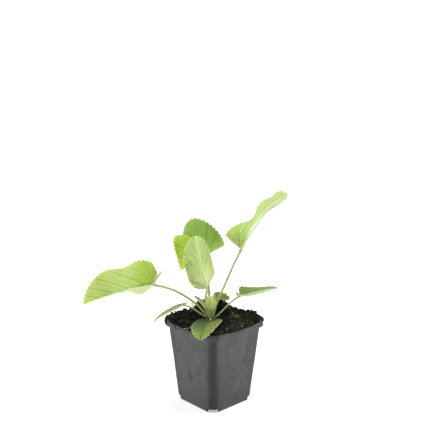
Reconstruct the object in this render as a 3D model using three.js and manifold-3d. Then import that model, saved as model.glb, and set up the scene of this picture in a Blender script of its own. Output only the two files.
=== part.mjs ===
// Potted turkish sage: a young plant with heart-shaped woolly leaves on long stalks, which all
// grow from one crown, in a square nursery pot heaped with peat.
// Millimetres, +Z up. The origin is the middle of the pot's foot, and the pot's walls face X and Y.
import * as THREE from "three";
import { mergeVertices } from "three/addons/utils/BufferGeometryUtils.js";
import Module from "manifold-3d";

const wasm = await Module();
wasm.setup();

const GAP = 0.3; // between pieces that touch

const POT = {
  height: 100,
  footHalf: 32.25, // half width of the wall at the foot
  footRadius: 9.3,
  shoulderZ: 92.5, // where the lip stands out from the wall
  shoulderHalf: 41,
  shoulderRadius: 8.5,
  lipHalf: 45,
  lipRadius: 12,
  wall: 1.2,
  chamfer: 1,
  edge: 0.5, // rounding of the lip's edges
  notch: 4.25, // height of the cut-out under each corner
  drain: 2.6, // radius of the hole in each cut-out's ceiling
};

const PEAT = {
  level: 102, // general level, just over the lip
  edgeHalf: 45.5, // the heap's edge lies on the lip
  edgeZ: 100.45,
  slope: 5, // width over which the heap's edge comes up to the general level
  corner: 0.27, // corner radius of the heap's rings, as a share of their half width
  outerRing: 44, // the heap's rings: the first one inside its edge, then evenly down to the middle
  nextRing: 40,
  ringStep: 4.5,
  spill: 2.4, // how far it hangs down the lip on the two front sides
  spillHalf: 24, // half width of a spill
  spillDepth: 0.8, // how far it stands out there
  spillSkin: 0.8, // the hanging part's outer side reaches down this share as far as its back
  roughness: 0.7,
};

// Low hills and dents on the peat: a broad bank behind the crown, mounds near the rim at the back,
// and a trough under the front leaf.
const HILLS = [
  { x: 10.5, y: 15, rise: 14.5, along: 21.6, across: 9.5, turn: -43, steepness: 6 },
  { x: -14, y: 26, rise: 3, along: 10, across: 8, turn: -43, steepness: 2 },
  { x: 39, y: -27, rise: 3, along: 13, across: 7, turn: 90, steepness: 2 },
  { x: -31, y: 38, rise: 2, along: 8, across: 6, turn: 0, steepness: 2 },
  { x: -27, y: -17, rise: -2.4, along: 27, across: 18, turn: 32, steepness: 4 },
  { x: 28, y: -30, rise: 1, along: 9, across: 7, turn: 0, steepness: 2 },
];

// outline: shares of the radius and of the height, from the bottom up.
const CROWN = {
  x: -6.3,
  y: -0.9,
  radius: 4.4,
  bottom: 97,
  top: 104.2,
  outline: [[0, 0], [0.6, 0], [1, 0.35], [0.95, 0.65], [0.6, 0.9], [0, 1]],
};

const MOSS = { x: 17.5, y: -16.5, z: 101.9, length: 15, width: 12, height: 3, turn: -43 };

const TWIG = {
  radius: 0.8,
  points: [
    [-11, 21, 104],
    [-11.5, 21.5, 109.5],
    [-15, 24, 117.5],
  ],
};

const BLADE = {
  thickness: 0.9,
  widthSteps: 3,
  overlap: 0.3, // how far each half blade reaches across the midrib
  stations: [0.1, 0.37, 0.65, 1], // places along the midrib of the rise angles; the first one is on the lobe
  ribStart: 0.3, // share of the margin that runs round the basal lobe
  ribEase: 1.3, // above 1, so that the first veins after the lobe leave the midrib close together
  ribEnd: 0.88, // where the midrib's bulge fades out
  ribTip: 0.3, // its radius there
  stalkFlare: 1.2, // how much wider the stalk is at the crown
  stalkStep: 6,
  frames: 32,
};

// spine: the midrib's four control points, from the stalk's end to the tip.
// heading: the compass direction in which the blade points. width: of one half, as a share of the
// length; widest: where; lobe: how far the base reaches back; blunt: fullness of the tip.
// rise: the angle at which a half blade stands up from the midrib, at the five stations;
// curl: how far it rolls over its width; lobeCurl: how far its basal lobe bends down.
// stalk: points from the crown to just before the blade.
const LEAVES = [
  {
    name: "leaf_left_large",
    spine: [[-58, 42.5, 145.5], [-74.5, 64.5, 141], [-99, 76, 133], [-122, 93, 123]],
    heading: 141,
    width: 0.39,
    widest: 0.33,
    lobe: 0.11,
    blunt: 0.52,
    left: { rise: [13, -2, 13, 14, 15], curl: 2, lobeCurl: 34 },
    right: { rise: [59, 63, 38, 63, 52], curl: -1, lobeCurl: 14 },
    stalk: [[-7.6, 0.6, 102.2], [-9.5, 2.5, 105], [-12, 4.5, 109.5], [-21.5, 12, 122.5], [-40.5, 26.5, 138]],
    stalkRadius: 1.3,
    steps: 16,
    color: 0xafcd5a,
  },
  {
    name: "leaf_back",
    spine: [[-0.5, 14.5, 177.5], [9, 38, 178], [13.5, 65, 206], [18, 75.5, 179]],
    heading: 77,
    width: 0.41,
    widest: 0.27,
    lobe: 0.15,
    blunt: 0.46,
    left: { rise: [-15, -29, -19, 2, -1], curl: -7, lobeCurl: 29 },
    right: { rise: [26, 26, 47, 66, 83], curl: -9, lobeCurl: 35 },
    stalk: [[-5.5, 1, 102.2], [-4, 3, 107], [-3, 5, 119], [-2.5, 6.5, 133.5], [-1.5, 11, 163]],
    stalkRadius: 1.3,
    steps: 16,
    color: 0x7daf46,
  },
  {
    name: "leaf_front_upright",
    spine: [[-10.5, 2, 140.5], [-18, 2, 161], [-22, 5.5, 185.5], [-23, 6.5, 203.5]],
    heading: 230,
    width: 0.33,
    widest: 0.32,
    lobe: 0.05,
    blunt: 0.55,
    left: { rise: [75, 52, 51, 47, 43], curl: 2, lobeCurl: 31 },
    right: { rise: [14, 21, 25, 16, 14], curl: 0, lobeCurl: 18 },
    stalk: [[-8, -0.2, 102.2], [-9, 1.5, 109], [-9.7, 3, 117], [-10.2, 3.5, 127]],
    stalkRadius: 1.3,
    steps: 16,
    color: 0xb4cd78,
  },
  {
    name: "leaf_right_tall",
    spine: [[30.5, -14, 184.5], [37.5, -23.5, 211.5], [50, -30.5, 235.5], [71.5, -49, 249]],
    heading: -33,
    width: 0.34,
    widest: 0.31,
    lobe: 0.05,
    blunt: 0.53,
    left: { rise: [47, 42, -2, 6, 16], curl: -9, lobeCurl: 46 },
    right: { rise: [23, 17, 12, 8, -8], curl: -4, lobeCurl: 12 },
    stalk: [[-4.6, -2, 102.2], [-3, -3, 109.5], [-0.5, -3.5, 118], [7, -6, 134], [24.5, -11.5, 170]],
    stalkRadius: 1.3,
    steps: 16,
    color: 0xa5cd55,
  },
  {
    name: "leaf_right_low",
    spine: [[20, -23, 130], [31.5, -33.5, 134], [45.5, -40, 136], [59, -48, 137]],
    heading: -39,
    width: 0.31,
    widest: 0.3,
    lobe: 0.1,
    blunt: 0.48,
    left: { rise: [18, 22, 13, 5, 11], curl: -9, lobeCurl: 32 },
    right: { rise: [24, 11, 8, 8, 10], curl: -5, lobeCurl: 26 },
    stalk: [[-5.2, -2.8, 102.2], [-2.5, -5.8, 104.6], [3, -10, 111], [13.5, -18, 124]],
    stalkRadius: 1.2,
    steps: 11,
    color: 0x8cb464,
  },
  {
    name: "leaf_left_small",
    spine: [[-36.5, 12, 123], [-48, 16, 121.5], [-59.5, 21, 117], [-71.5, 26, 106.5]],
    heading: 158,
    width: 0.3,
    widest: 0.29,
    lobe: 0.12,
    blunt: 0.46,
    left: { rise: [33, 25, 18, 21, 35], curl: -9, lobeCurl: 28 },
    right: { rise: [-5, -7, -10, -10, -13], curl: -8, lobeCurl: 11 },
    stalk: [[-8.6, -1.2, 102.4], [-12.5, 0.6, 105.2], [-17.5, 4.5, 109.3], [-26.5, 9.5, 117]],
    stalkRadius: 1,
    steps: 10,
    color: 0x96b96e,
  },
  {
    name: "leaf_front_rim",
    spine: [[-14, -8, 102.5], [-27.5, -18, 103.5], [-41.5, -25.5, 105.5], [-54, -35, 97]],
    heading: 212,
    width: 0.33,
    widest: 0.31,
    lobe: 0.11,
    blunt: 0.53,
    left: { rise: [12, 16, 19, 18, 13], curl: -7, lobeCurl: 11 },
    right: { rise: [10, 5, 6, 10, 20], curl: -8, lobeCurl: 13 },
    stalk: [[-7.6, -2.6, 102.6], [-11, -5.4, 103.6]],
    stalkRadius: 1,
    steps: 10,
    color: 0x82aa5a,
  },
  {
    name: "leaf_back_small",
    spine: [[14, 14.5, 122], [19.5, 10.5, 117.5], [28, 11.5, 119.5], [34, 8.5, 115.5]],
    heading: -12,
    width: 0.36,
    widest: 0.3,
    lobe: 0.12,
    blunt: 0.5,
    left: { rise: [46, 48, 50, 55, 60], curl: -1, lobeCurl: 19 },
    right: { rise: [2, -2, -8, -12, -11], curl: -3, lobeCurl: 19 },
    stalk: [[-4.2, 0.4, 102.2], [-1, 2.6, 109], [4.5, 7, 117.5], [9.5, 11.5, 122.2]],
    stalkRadius: 0.9,
    steps: 10,
    color: 0x788c3c,
  },
  {
    name: "young_leaf_center",
    spine: [[-8.5, -3, 114], [-9, -3.7, 120], [-9.2, -3, 126], [-9, -1.5, 130.5]],
    heading: 230,
    width: 0.34,
    widest: 0.42,
    lobe: 0.02,
    blunt: 0.6,
    left: { rise: [12, 12, 14, 16, 20], curl: -10, lobeCurl: 5 },
    right: { rise: [16, 14, 14, 18, 24], curl: -10, lobeCurl: 5 },
    stalk: [[-7, -2, 103], [-8, -2.6, 109]],
    stalkRadius: 0.8,
    steps: 6,
    color: 0xa8cc60,
  },
  {
    name: "young_leaf_left",
    spine: [[-13.5, 1, 116], [-16.5, 4, 121.5], [-20, 6.5, 127], [-23.5, 10, 131]],
    heading: 137,
    width: 0.18,
    widest: 0.45,
    lobe: 0,
    blunt: 0.5,
    left: { rise: [60, 60, 62, 64, 60], curl: 0, lobeCurl: 0 },
    right: { rise: [58, 60, 62, 64, 60], curl: 0, lobeCurl: 0 },
    stalk: [[-8.8, -1.6, 103], [-11.8, -0.6, 109]],
    stalkRadius: 0.8,
    steps: 6,
    color: 0xb4c88c,
  },
  {
    name: "young_leaf_curled",
    spine: [[3.5, 0, 118], [4, -0.5, 122], [2.5, 0.5, 125.5], [0, 2, 128.5]],
    heading: 137,
    width: 0.2,
    widest: 0.4,
    lobe: 0,
    blunt: 0.6,
    left: { rise: [50, 50, 50, 50, 50], curl: 0, lobeCurl: 0 },
    right: { rise: [50, 50, 50, 50, 50], curl: 0, lobeCurl: 0 },
    stalk: [[-5, -0.8, 103], [-2.5, -0.4, 108.5], [1, 0, 113.5]],
    stalkRadius: 0.7,
    steps: 6,
    color: 0x9ca878,
  },
];

const vector = (p) => new THREE.Vector3(...p);
const radians = THREE.MathUtils.degToRad;
const clamp = THREE.MathUtils.clamp;
const lerp = THREE.MathUtils.lerp;

// Solids and meshes

// A closed geometry as a solid: its shared vertices are merged and its collapsed triangles dropped.
function solidOf(geometry) {
  const bare = geometry.clone();
  bare.deleteAttribute("normal");
  bare.deleteAttribute("uv");
  const merged = mergeVertices(bare, 1e-4);
  const index = merged.index.array;
  const triangles = [];
  for (let i = 0; i < index.length; i += 3) {
    const [a, b, c] = index.slice(i, i + 3);
    if (a !== b && b !== c && c !== a) triangles.push(a, b, c);
  }
  const mesh = new wasm.Mesh({
    numProp: 3,
    vertProperties: merged.attributes.position.array,
    triVerts: new Uint32Array(triangles),
  });
  return new wasm.Manifold(mesh);
}

// The largest body of a solid, without the slivers and pinholes that cuts and joins can leave.
function mainBody(solid) {
  return solid.decompose().sort((a, b) => b.volume() - a.volume())[0];
}

function geometryOf(solid) {
  const { vertProperties, triVerts } = solid.getMesh();
  const geometry = new THREE.BufferGeometry();
  geometry.setAttribute("position", new THREE.BufferAttribute(new Float32Array(vertProperties), 3));
  geometry.setIndex(new THREE.BufferAttribute(new Uint32Array(triVerts), 1));
  geometry.computeVertexNormals();
  return geometry;
}

function piece(name, solid, color, roughness) {
  const material = new THREE.MeshStandardMaterial({ color, roughness, metalness: 0 });
  const mesh = new THREE.Mesh(geometryOf(mainBody(solid)), material);
  mesh.name = name;
  return mesh;
}

// A smooth curve through the values at the given stations, held level beyond both ends.
function smoothThrough(stations, values, x) {
  const last = stations.length - 1;
  const at = clamp(x, stations[0], stations[last]);
  const slopes = stations.slice(1).map((s, k) => (values[k + 1] - values[k]) / (s - stations[k]));
  const tangents = stations.map((s, k) => ((slopes[k - 1] ?? slopes[k]) + (slopes[k] ?? slopes[k - 1])) / 2);
  const i = clamp(stations.findIndex((s) => s > at) - 1, 0, last - 1);
  const k = at >= stations[last] ? last - 1 : i;
  const span = stations[k + 1] - stations[k];
  const t = (at - stations[k]) / span;
  return (
    (2 * t ** 3 - 3 * t ** 2 + 1) * values[k] +
    (t ** 3 - 2 * t ** 2 + t) * span * tangents[k] +
    (3 * t ** 2 - 2 * t ** 3) * values[k + 1] +
    (t ** 3 - t ** 2) * span * tangents[k + 1]
  );
}

// Square shapes with rounded corners

// The points of a rounded square, anticlockwise, the first one repeated at the end.
function roundedSquare(half, radius, arcSteps, sideSteps) {
  const points = [];
  for (let corner = 0; corner < 4; corner++) {
    const turn = (corner * Math.PI) / 2;
    const flat = half - radius;
    const arc = new THREE.EllipseCurve(flat, flat, radius, radius, 0, Math.PI / 2);
    const side = new THREE.LineCurve(new THREE.Vector2(flat, half), new THREE.Vector2(-flat, half));
    const run = [...arc.getPoints(arcSteps), ...side.getPoints(sideSteps).slice(1, -1)];
    points.push(...run.map((p) => p.rotateAround(new THREE.Vector2(), turn)));
  }
  return [...points, points[0]];
}

const ring = (half, radius, z) => ({ half, radius, z });

// A lathe whose rings are rounded squares instead of circles. The rings run from the bottom's middle,
// up the outside, to the top's middle.
function squareLathe(rings, arcSteps, sideSteps) {
  const outlines = rings.map((r) => roundedSquare(r.half, r.radius, arcSteps, sideSteps));
  const profile = rings.map((r) => new THREE.Vector2(r.half, r.z));
  const geometry = new THREE.LatheGeometry(profile, outlines[0].length - 1);
  const position = geometry.attributes.position;
  for (let k = 0; k < position.count; k++) {
    const j = k % rings.length;
    const p = outlines[j][Math.floor(k / rings.length)];
    position.setXYZ(k, p.x, p.y, rings[j].z);
  }
  return geometry;
}

// The pot's wall at a height, moved inwards by inset.
function wallRing(z, inset) {
  const share = z / POT.shoulderZ;
  const half = lerp(POT.footHalf, POT.shoulderHalf, share) - inset;
  return ring(half, lerp(POT.footRadius, POT.shoulderRadius, share) - inset, z);
}

const lipRing = (inset, z) => ring(POT.lipHalf - inset, POT.lipRadius - inset, z);

// A box over each corner of the foot, from the wall's corner arc outwards.
function cornerBoxes(grow, bottom, top) {
  const near = POT.footHalf - POT.footRadius - grow;
  const clear = 5; // past the wall
  const far = POT.footHalf + clear;
  const boxes = [];
  for (const sx of [-1, 1]) {
    for (const sy of [-1, 1]) {
      const box = new THREE.BoxGeometry(far - near, far - near, top - bottom);
      const middle = (near + far) / 2;
      box.translate(sx * middle, sy * middle, (top + bottom) / 2);
      boxes.push(solidOf(box));
    }
  }
  return boxes;
}

function drainHoles() {
  const middle = POT.footHalf - POT.footRadius + POT.drain + POT.wall / 2;
  const holes = [];
  for (const sx of [-1, 1]) {
    for (const sy of [-1, 1]) {
      const hole = new THREE.CylinderGeometry(POT.drain, POT.drain, 4 * POT.wall, 12);
      hole.rotateX(Math.PI / 2).translate(sx * middle, sy * middle, POT.notch);
      holes.push(solidOf(hole));
    }
  }
  return holes;
}

function pot() {
  const { height, wall, chamfer, edge, shoulderZ, notch } = POT;
  const foot = wallRing(0, chamfer);
  const outside = squareLathe(
    [
      ring(0, 0, 0),
      foot,
      wallRing(chamfer, 0),
      wallRing(shoulderZ, 0),
      lipRing(edge, shoulderZ),
      lipRing(0, shoulderZ + edge),
      lipRing(0, height - edge),
      lipRing(edge, height),
      ring(0, 0, height),
    ],
    6,
    1,
  );
  const inside = squareLathe(
    [
      ring(0, 0, wall),
      wallRing(wall, wall),
      wallRing(shoulderZ + wall, wall),
      lipRing(wall, shoulderZ + wall),
      lipRing(wall, height - edge),
      lipRing(wall - edge, height + edge),
      ring(0, 0, height + edge),
    ],
    6,
    1,
  );
  let hollow = solidOf(inside);
  for (const block of cornerBoxes(wall, -1, notch + wall)) hollow = hollow.subtract(block);
  let shell = solidOf(outside).subtract(hollow);
  for (const cut of [...cornerBoxes(0, -1, notch), ...drainHoles()]) shell = shell.subtract(cut);
  return shell;
}

// Peat, crown and moss

function hillAt({ x, y, rise, along, across, turn, steepness }, px, py) {
  const spot = new THREE.Vector2(px - x, py - y).rotateAround(new THREE.Vector2(), -radians(turn));
  const away = Math.abs(spot.x / along) ** steepness + Math.abs(spot.y / across) ** steepness;
  return rise * Math.exp(-away);
}

function peatHeight(x, y, half) {
  const clods = Math.sin(0.55 * x + 1.3) * Math.cos(0.61 * y + 0.4) + 0.6 * Math.sin(0.9 * x - 0.8 * y);
  const hills = HILLS.reduce((sum, hill) => sum + hillAt(hill, x, y), 0);
  const inwards = clamp((PEAT.edgeHalf - half) / PEAT.slope, 0, 1);
  return lerp(PEAT.edgeZ, PEAT.level + hills, inwards) + PEAT.roughness * clods * inwards;
}

// How far the peat hangs down the lip at a point of its edge: only on the -X and -Y sides.
function spillAt(x, y) {
  const onFront = x < -POT.lipHalf || y < -POT.lipHalf;
  const sideways = Math.abs(x) > Math.abs(y) ? y : x;
  return onFront ? PEAT.spill * Math.exp(-((sideways / PEAT.spillHalf) ** 4)) : 0;
}

function peat() {
  const { wall, height, shoulderZ } = POT;
  const { edgeHalf, corner, level, spill, spillDepth, spillSkin, outerRing, nextRing, ringStep } = PEAT;
  const inset = wall + GAP;
  const heapRing = (half) => ring(half, corner * half, level);
  const inPot = [
    ring(0, 0, inset),
    wallRing(inset, inset),
    wallRing(shoulderZ + inset, inset),
    lipRing(inset, shoulderZ + inset),
    lipRing(inset, height + GAP),
  ];
  // Three rings make the heap's rim: where it lies on the lip, where it hangs from it, and its outer skin.
  const rim = [edgeHalf, edgeHalf, edgeHalf + spillDepth].map(heapRing);
  const inner = Array.from({ length: Math.ceil(nextRing / ringStep) }, (_, k) => nextRing - k * ringStep);
  const heap = [edgeHalf, outerRing, ...inner, 0].map(heapRing);
  const rings = [...inPot, ...rim, ...heap];
  const geometry = squareLathe(rings, 4, 6);
  const position = geometry.attributes.position;
  for (let k = 0; k < position.count; k++) {
    const j = k % rings.length;
    const onRim = j - inPot.length;
    const x = position.getX(k);
    const y = position.getY(k);
    const drop = spillAt(x, y);
    if (onRim === 0) position.setZ(k, height + GAP);
    if (onRim === 1) position.setZ(k, height + GAP - drop);
    if (onRim === 2) {
      const bulge = (edgeHalf + (drop * spillDepth) / spill) / (edgeHalf + spillDepth);
      position.setXYZ(k, x * bulge, y * bulge, height + 1.5 * GAP - spillSkin * drop);
    }
    if (onRim > 2) position.setZ(k, peatHeight(x, y, rings[j].half));
  }
  let solid = solidOf(geometry);
  for (const block of cornerBoxes(wall + GAP, 0, POT.notch + wall + GAP)) solid = solid.subtract(block);
  return solid;
}

function crown(grow) {
  const { x, y, radius, bottom, top, outline } = CROWN;
  const height = (share) => lerp(bottom - grow, top + grow, share);
  const profile = outline.map(([out, up]) => new THREE.Vector2(out * (radius + grow), height(up)));
  const geometry = new THREE.LatheGeometry(profile, 14);
  return solidOf(geometry.rotateX(Math.PI / 2).translate(x, y, 0));
}

function moss(grow) {
  const { x, y, z, length, width, height, turn } = MOSS;
  const geometry = new THREE.SphereGeometry(0.5, 14, 8);
  geometry.scale(length + 2 * grow, width + 2 * grow, height + 2 * grow);
  return solidOf(geometry.rotateZ(radians(turn)).translate(x, y, z));
}

// Stalks and blades

// A tube along the curve whose radius changes from ring to ring.
function taperedTube(curve, steps, radiusAt) {
  const disc = new THREE.Shape().absarc(0, 0, 1, 0, 2 * Math.PI, false);
  const settings = { steps, curveSegments: 3, bevelEnabled: false, extrudePath: curve };
  const geometry = new THREE.ExtrudeGeometry(disc, settings);
  const centres = curve.getSpacedPoints(steps);
  const position = geometry.attributes.position;
  const p = new THREE.Vector3();
  for (let k = 0; k < position.count; k++) {
    p.fromBufferAttribute(position, k);
    const gaps = centres.map((centre) => centre.distanceTo(p));
    const i = gaps.indexOf(Math.min(...gaps));
    p.sub(centres[i]).multiplyScalar(radiusAt(i / steps)).add(centres[i]);
    position.setXYZ(k, p.x, p.y, p.z);
  }
  return solidOf(geometry);
}

// The twig stands in the peat, and its lower end grows downwards too.
function twig(grow) {
  const [foot, ...rest] = TWIG.points.map(vector);
  const curve = new THREE.CatmullRomCurve3([foot.setZ(foot.z - grow), ...rest]);
  return taperedTube(curve, 4, () => TWIG.radius + grow);
}

// The midrib as a curve with a frame at even steps: along it, up from the blade, and to its left.
function midrib(leaf) {
  const curve = new THREE.CubicBezierCurve3(...leaf.spine.map(vector));
  const heading = radians(leaf.heading);
  const level = new THREE.Vector3(-Math.sin(heading), Math.cos(heading), 0);
  const frames = [];
  for (let i = 0; i <= BLADE.frames; i++) {
    const along = curve.getTangentAt(i / BLADE.frames);
    const up = i ? frames[i - 1].up.clone() : along.clone().cross(level);
    up.addScaledVector(along, -up.dot(along)).normalize();
    frames.push({ point: curve.getPointAt(i / BLADE.frames), along, up, left: up.clone().cross(along) });
  }
  return { length: curve.getLength(), frames };
}

function frameAt(rib, x) {
  const at = clamp(x, 0, 1) * BLADE.frames;
  const i = Math.min(Math.floor(at), BLADE.frames - 1);
  const between = (key) => rib.frames[i][key].clone().lerp(rib.frames[i + 1][key], at - i);
  return { point: between("point"), along: between("along"), up: between("up"), left: between("left") };
}

// The blade's point at x along the midrib and y out from it, both as shares of the length.
function bladePoint(leaf, rib, side, x, y) {
  const half = side > 0 ? leaf.left : leaf.right;
  const { point, along, up, left } = frameAt(rib, x);
  const behind = Math.min(x, 0);
  const bend = radians(half.lobeCurl) * clamp(-behind / Math.max(leaf.lobe, 1e-3), 0, 1.2);
  point.addScaledVector(along, behind * rib.length * Math.cos(bend / 2));
  point.addScaledVector(up, -behind * rib.length * Math.sin(bend / 2));
  const normal = up.clone().multiplyScalar(Math.cos(bend)).addScaledVector(along, Math.sin(bend));
  const stations = [-1.1 * Math.max(leaf.lobe, 0.02), ...BLADE.stations];
  const rise = radians(smoothThrough(stations, half.rise, x));
  const curl = radians(half.curl || 0.01) / leaf.width;
  const out = (Math.sin(rise + curl * y) - Math.sin(rise)) / curl;
  const lift = (Math.cos(rise) - Math.cos(rise + curl * y)) / curl;
  point.addScaledVector(left, side * out * rib.length);
  return point.addScaledVector(normal, lift * rib.length);
}

// Half of the flat outline, from the stalk round the basal lobe to the tip, in blade lengths.
function halfOutline({ width, widest, lobe, blunt }) {
  return new THREE.Path()
    .moveTo(0, 0)
    .bezierCurveTo(-1.3 * lobe, 0.12 * width, -1.25 * lobe - 0.02, width, widest, width)
    .bezierCurveTo(widest + 0.52 * (1 - widest), width, 0.98, width * blunt, 1, 0);
}

// One half of a blade: a thin box whose length follows the margin and whose width runs out from
// the midrib, bent into place.
function halfBlade(leaf, rib, side) {
  const geometry = new THREE.BoxGeometry(1, 1, 1, leaf.steps, BLADE.widthSteps, 1);
  const outline = halfOutline(leaf);
  const position = geometry.attributes.position;
  const step = 1e-3;
  for (let k = 0; k < position.count; k++) {
    const u = position.getX(k) + 0.5;
    const v = position.getY(k) + 0.5;
    const edge = outline.getPoint(u);
    const onRib = Math.max(0, (u - BLADE.ribStart) / (1 - BLADE.ribStart)) ** BLADE.ribEase;
    const x = lerp(onRib, edge.x, v);
    const y = lerp(-BLADE.overlap / rib.length, edge.y, v);
    const at = (dx, dy) => bladePoint(leaf, rib, side, x + dx, y + dy);
    const lengthwise = at(step, 0).sub(at(-step, 0));
    const crosswise = at(0, step).sub(at(0, -step));
    const through = lengthwise.cross(crosswise).setLength(position.getZ(k) * BLADE.thickness);
    const p = at(0, 0).add(through);
    position.setXYZ(k, p.x, p.y, p.z);
  }
  return solidOf(geometry);
}

// The stalk and the midrib under the blade, in one tapering tube.
function stalk(leaf, rib, grow) {
  const onRib = [0, 0.25, 0.5, 0.75, 1].map((share) => {
    const { point, up } = frameAt(rib, share * BLADE.ribEnd);
    return point.addScaledVector(up, -BLADE.thickness / 3);
  });
  const curve = new THREE.CatmullRomCurve3([...leaf.stalk.map(vector), ...onRib]);
  const free = 1 - (BLADE.ribEnd * rib.length) / curve.getLength();
  const radius = (t) =>
    t < free
      ? leaf.stalkRadius * lerp(BLADE.stalkFlare, 1, t / free)
      : lerp(leaf.stalkRadius, BLADE.ribTip, (t - free) / (1 - free));
  const steps = Math.round(curve.getLength() / BLADE.stalkStep) + 2;
  return taperedTube(curve, steps, (t) => radius(t) + grow);
}

function leafSolid(leaf, rib) {
  const withLeft = stalk(leaf, rib, 0).add(halfBlade(leaf, rib, 1));
  return withLeft.add(halfBlade(leaf, rib, -1)).subtract(crown(GAP));
}

// Assembly

const pottedSage = new THREE.Group();
pottedSage.add(piece("pot", pot(), 0x5e6165, 0.5));

let soil = peat().subtract(crown(GAP)).subtract(moss(GAP)).subtract(twig(GAP));

const plant = new THREE.Group();
plant.add(piece("crown", crown(0), 0x7d8a4a, 0.8));
const stalksSoFar = [];
for (const leaf of LEAVES) {
  const rib = midrib(leaf);
  let solid = leafSolid(leaf, rib);
  for (const other of stalksSoFar) solid = solid.subtract(other);
  const room = stalk(leaf, rib, GAP);
  stalksSoFar.push(room);
  soil = soil.subtract(room);
  plant.add(piece(leaf.name, solid, leaf.color, 0.85));
}
pottedSage.add(plant);

pottedSage.add(piece("potting_soil", soil, 0x2b221c, 1));
pottedSage.add(piece("moss_patch", moss(0), 0x4f7a2c, 1));
pottedSage.add(piece("twig", twig(0), 0x4a3a2a, 0.9));

export default pottedSage;
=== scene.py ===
# %% [markdown]
# # A young turkish sage in a square nursery pot
# The plant is a handful of felted, heart-shaped leaves on long stalks, which all grow from one
# crown. It stands in dark crumbly peat, in a thin grey plastic pot.
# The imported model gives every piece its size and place. This lesson gives each piece its look.
# Everything is modelled in millimetres, in the model's own frame, and scaled to metres at the end.

# %% Load the frame
import math
import random

import bmesh
import bpy
from mathutils import Matrix, Vector, noise


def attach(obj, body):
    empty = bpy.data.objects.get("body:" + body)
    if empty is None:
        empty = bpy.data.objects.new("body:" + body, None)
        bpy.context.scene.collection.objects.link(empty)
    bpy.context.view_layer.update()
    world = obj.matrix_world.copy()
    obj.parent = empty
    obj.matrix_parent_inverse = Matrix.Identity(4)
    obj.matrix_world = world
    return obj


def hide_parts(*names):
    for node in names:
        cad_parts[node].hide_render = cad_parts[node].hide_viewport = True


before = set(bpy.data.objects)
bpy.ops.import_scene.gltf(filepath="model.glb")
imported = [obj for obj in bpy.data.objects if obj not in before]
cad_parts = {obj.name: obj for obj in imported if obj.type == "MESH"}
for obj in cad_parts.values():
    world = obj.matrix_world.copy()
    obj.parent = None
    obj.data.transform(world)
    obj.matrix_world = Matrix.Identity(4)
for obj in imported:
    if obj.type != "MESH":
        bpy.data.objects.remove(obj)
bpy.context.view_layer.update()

MM = 0.001
dice = random.Random(7)
print("nodes:", sorted(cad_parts))

# %% [markdown]
# ## The camera
# The photograph looks at a corner of the pot from a little above. The focal length and the distance
# were measured from how the pot's walls run together, so the camera is placed by real distances.
# A camera looks along its own -Z, and to_track_quat turns it so that its Y stays up.

# %% Camera
IMAGE_SIDE = 427
FOCAL_PIXELS = 700
SENSOR = 36
CAMERA_DISTANCE = 0.8635
CAMERA_HEIGHT_ANGLE = math.radians(22.28)
CAMERA_PITCH = math.radians(10.6)
CAMERA_YAW = math.radians(-0.06)
CORNER_TURN = math.radians(43.09)
AIM_HEIGHT = 0.05


def seen_from_front(x, y, z):
    """A point given to the right of, behind and above the pot's foot, as the camera sees it."""
    return Matrix.Rotation(-CORNER_TURN, 3, "Z") @ Vector((x, y, z))


lens = bpy.data.cameras.new("camera")
lens.sensor_width = SENSOR
lens.lens = FOCAL_PIXELS / IMAGE_SIDE * SENSOR
camera = bpy.data.objects.new("camera", lens)
bpy.context.scene.collection.objects.link(camera)
bpy.context.scene.camera = camera
back, up = math.cos(CAMERA_HEIGHT_ANGLE), math.sin(CAMERA_HEIGHT_ANGLE)
camera.location = seen_from_front(0, -CAMERA_DISTANCE * back, AIM_HEIGHT + CAMERA_DISTANCE * up)
level = math.cos(CAMERA_PITCH)
look = seen_from_front(math.sin(CAMERA_YAW) * level, math.cos(CAMERA_YAW) * level, -math.sin(CAMERA_PITCH))
camera.rotation_euler = look.to_track_quat("-Z", "Y").to_euler()
print("camera at", [round(c, 3) for c in camera.location])

# %% [markdown]
# ## Tools for materials
# A procedural material is a small network of nodes, with no picture in it. It could be wired up by
# hand in the shader editor. In a script, one helper that adds a node with its settings and its links
# does the same and keeps each material short. Shaders count in linear light, so linear() turns a
# colour as it looks on a screen into the light values behind it.

# %% Colours and nodes


def linear(red, green, blue):
    """A screen colour, 0 to 255, as the linear light values that shaders use."""
    shares = [c / 255 for c in (red, green, blue)]
    return tuple(c / 12.92 if c < 0.0405 else ((c + 0.055) / 1.055) ** 2.4 for c in shares) + (1,)


def add_node(tree, kind, inputs=None, **settings):
    made = tree.nodes.new(kind)
    for key, value in settings.items():
        setattr(made, key, value)
    for key, value in (inputs or {}).items():
        if isinstance(value, bpy.types.NodeSocket):
            tree.links.new(value, made.inputs[key])
        else:
            made.inputs[key].default_value = value
    return made


print("middle grey on a screen is", round(linear(128, 128, 128)[0], 3), "as light")

# %% [markdown]
# ## Patterns
# Each of these helpers adds one node and returns the socket that carries its result, so a material
# below reads like a recipe. Every pattern starts from Object coordinates. It stays on its piece when
# the camera moves, and a size in millimetres means the same on every piece.

# %% Patterns


def place(tree, stretch=(1, 1, 1), turn=(0, 0, 0)):
    """Object coordinates, stretched and turned."""
    where = add_node(tree, "ShaderNodeTexCoord").outputs["Object"]
    inputs = {"Vector": where, "Scale": stretch, "Rotation": turn}
    return add_node(tree, "ShaderNodeMapping", inputs).outputs[0]


def grain(tree, vector, size_mm, detail=3, roughness=0.55, distortion=0):
    """Noise whose blotches are about size_mm wide, which is half a period of the noise."""
    made = add_node(tree, "ShaderNodeTexNoise", {
        "Vector": vector, "Scale": 0.5 / (size_mm * MM), "Detail": detail,
        "Roughness": roughness, "Distortion": distortion})
    return made.outputs[0]


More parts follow.
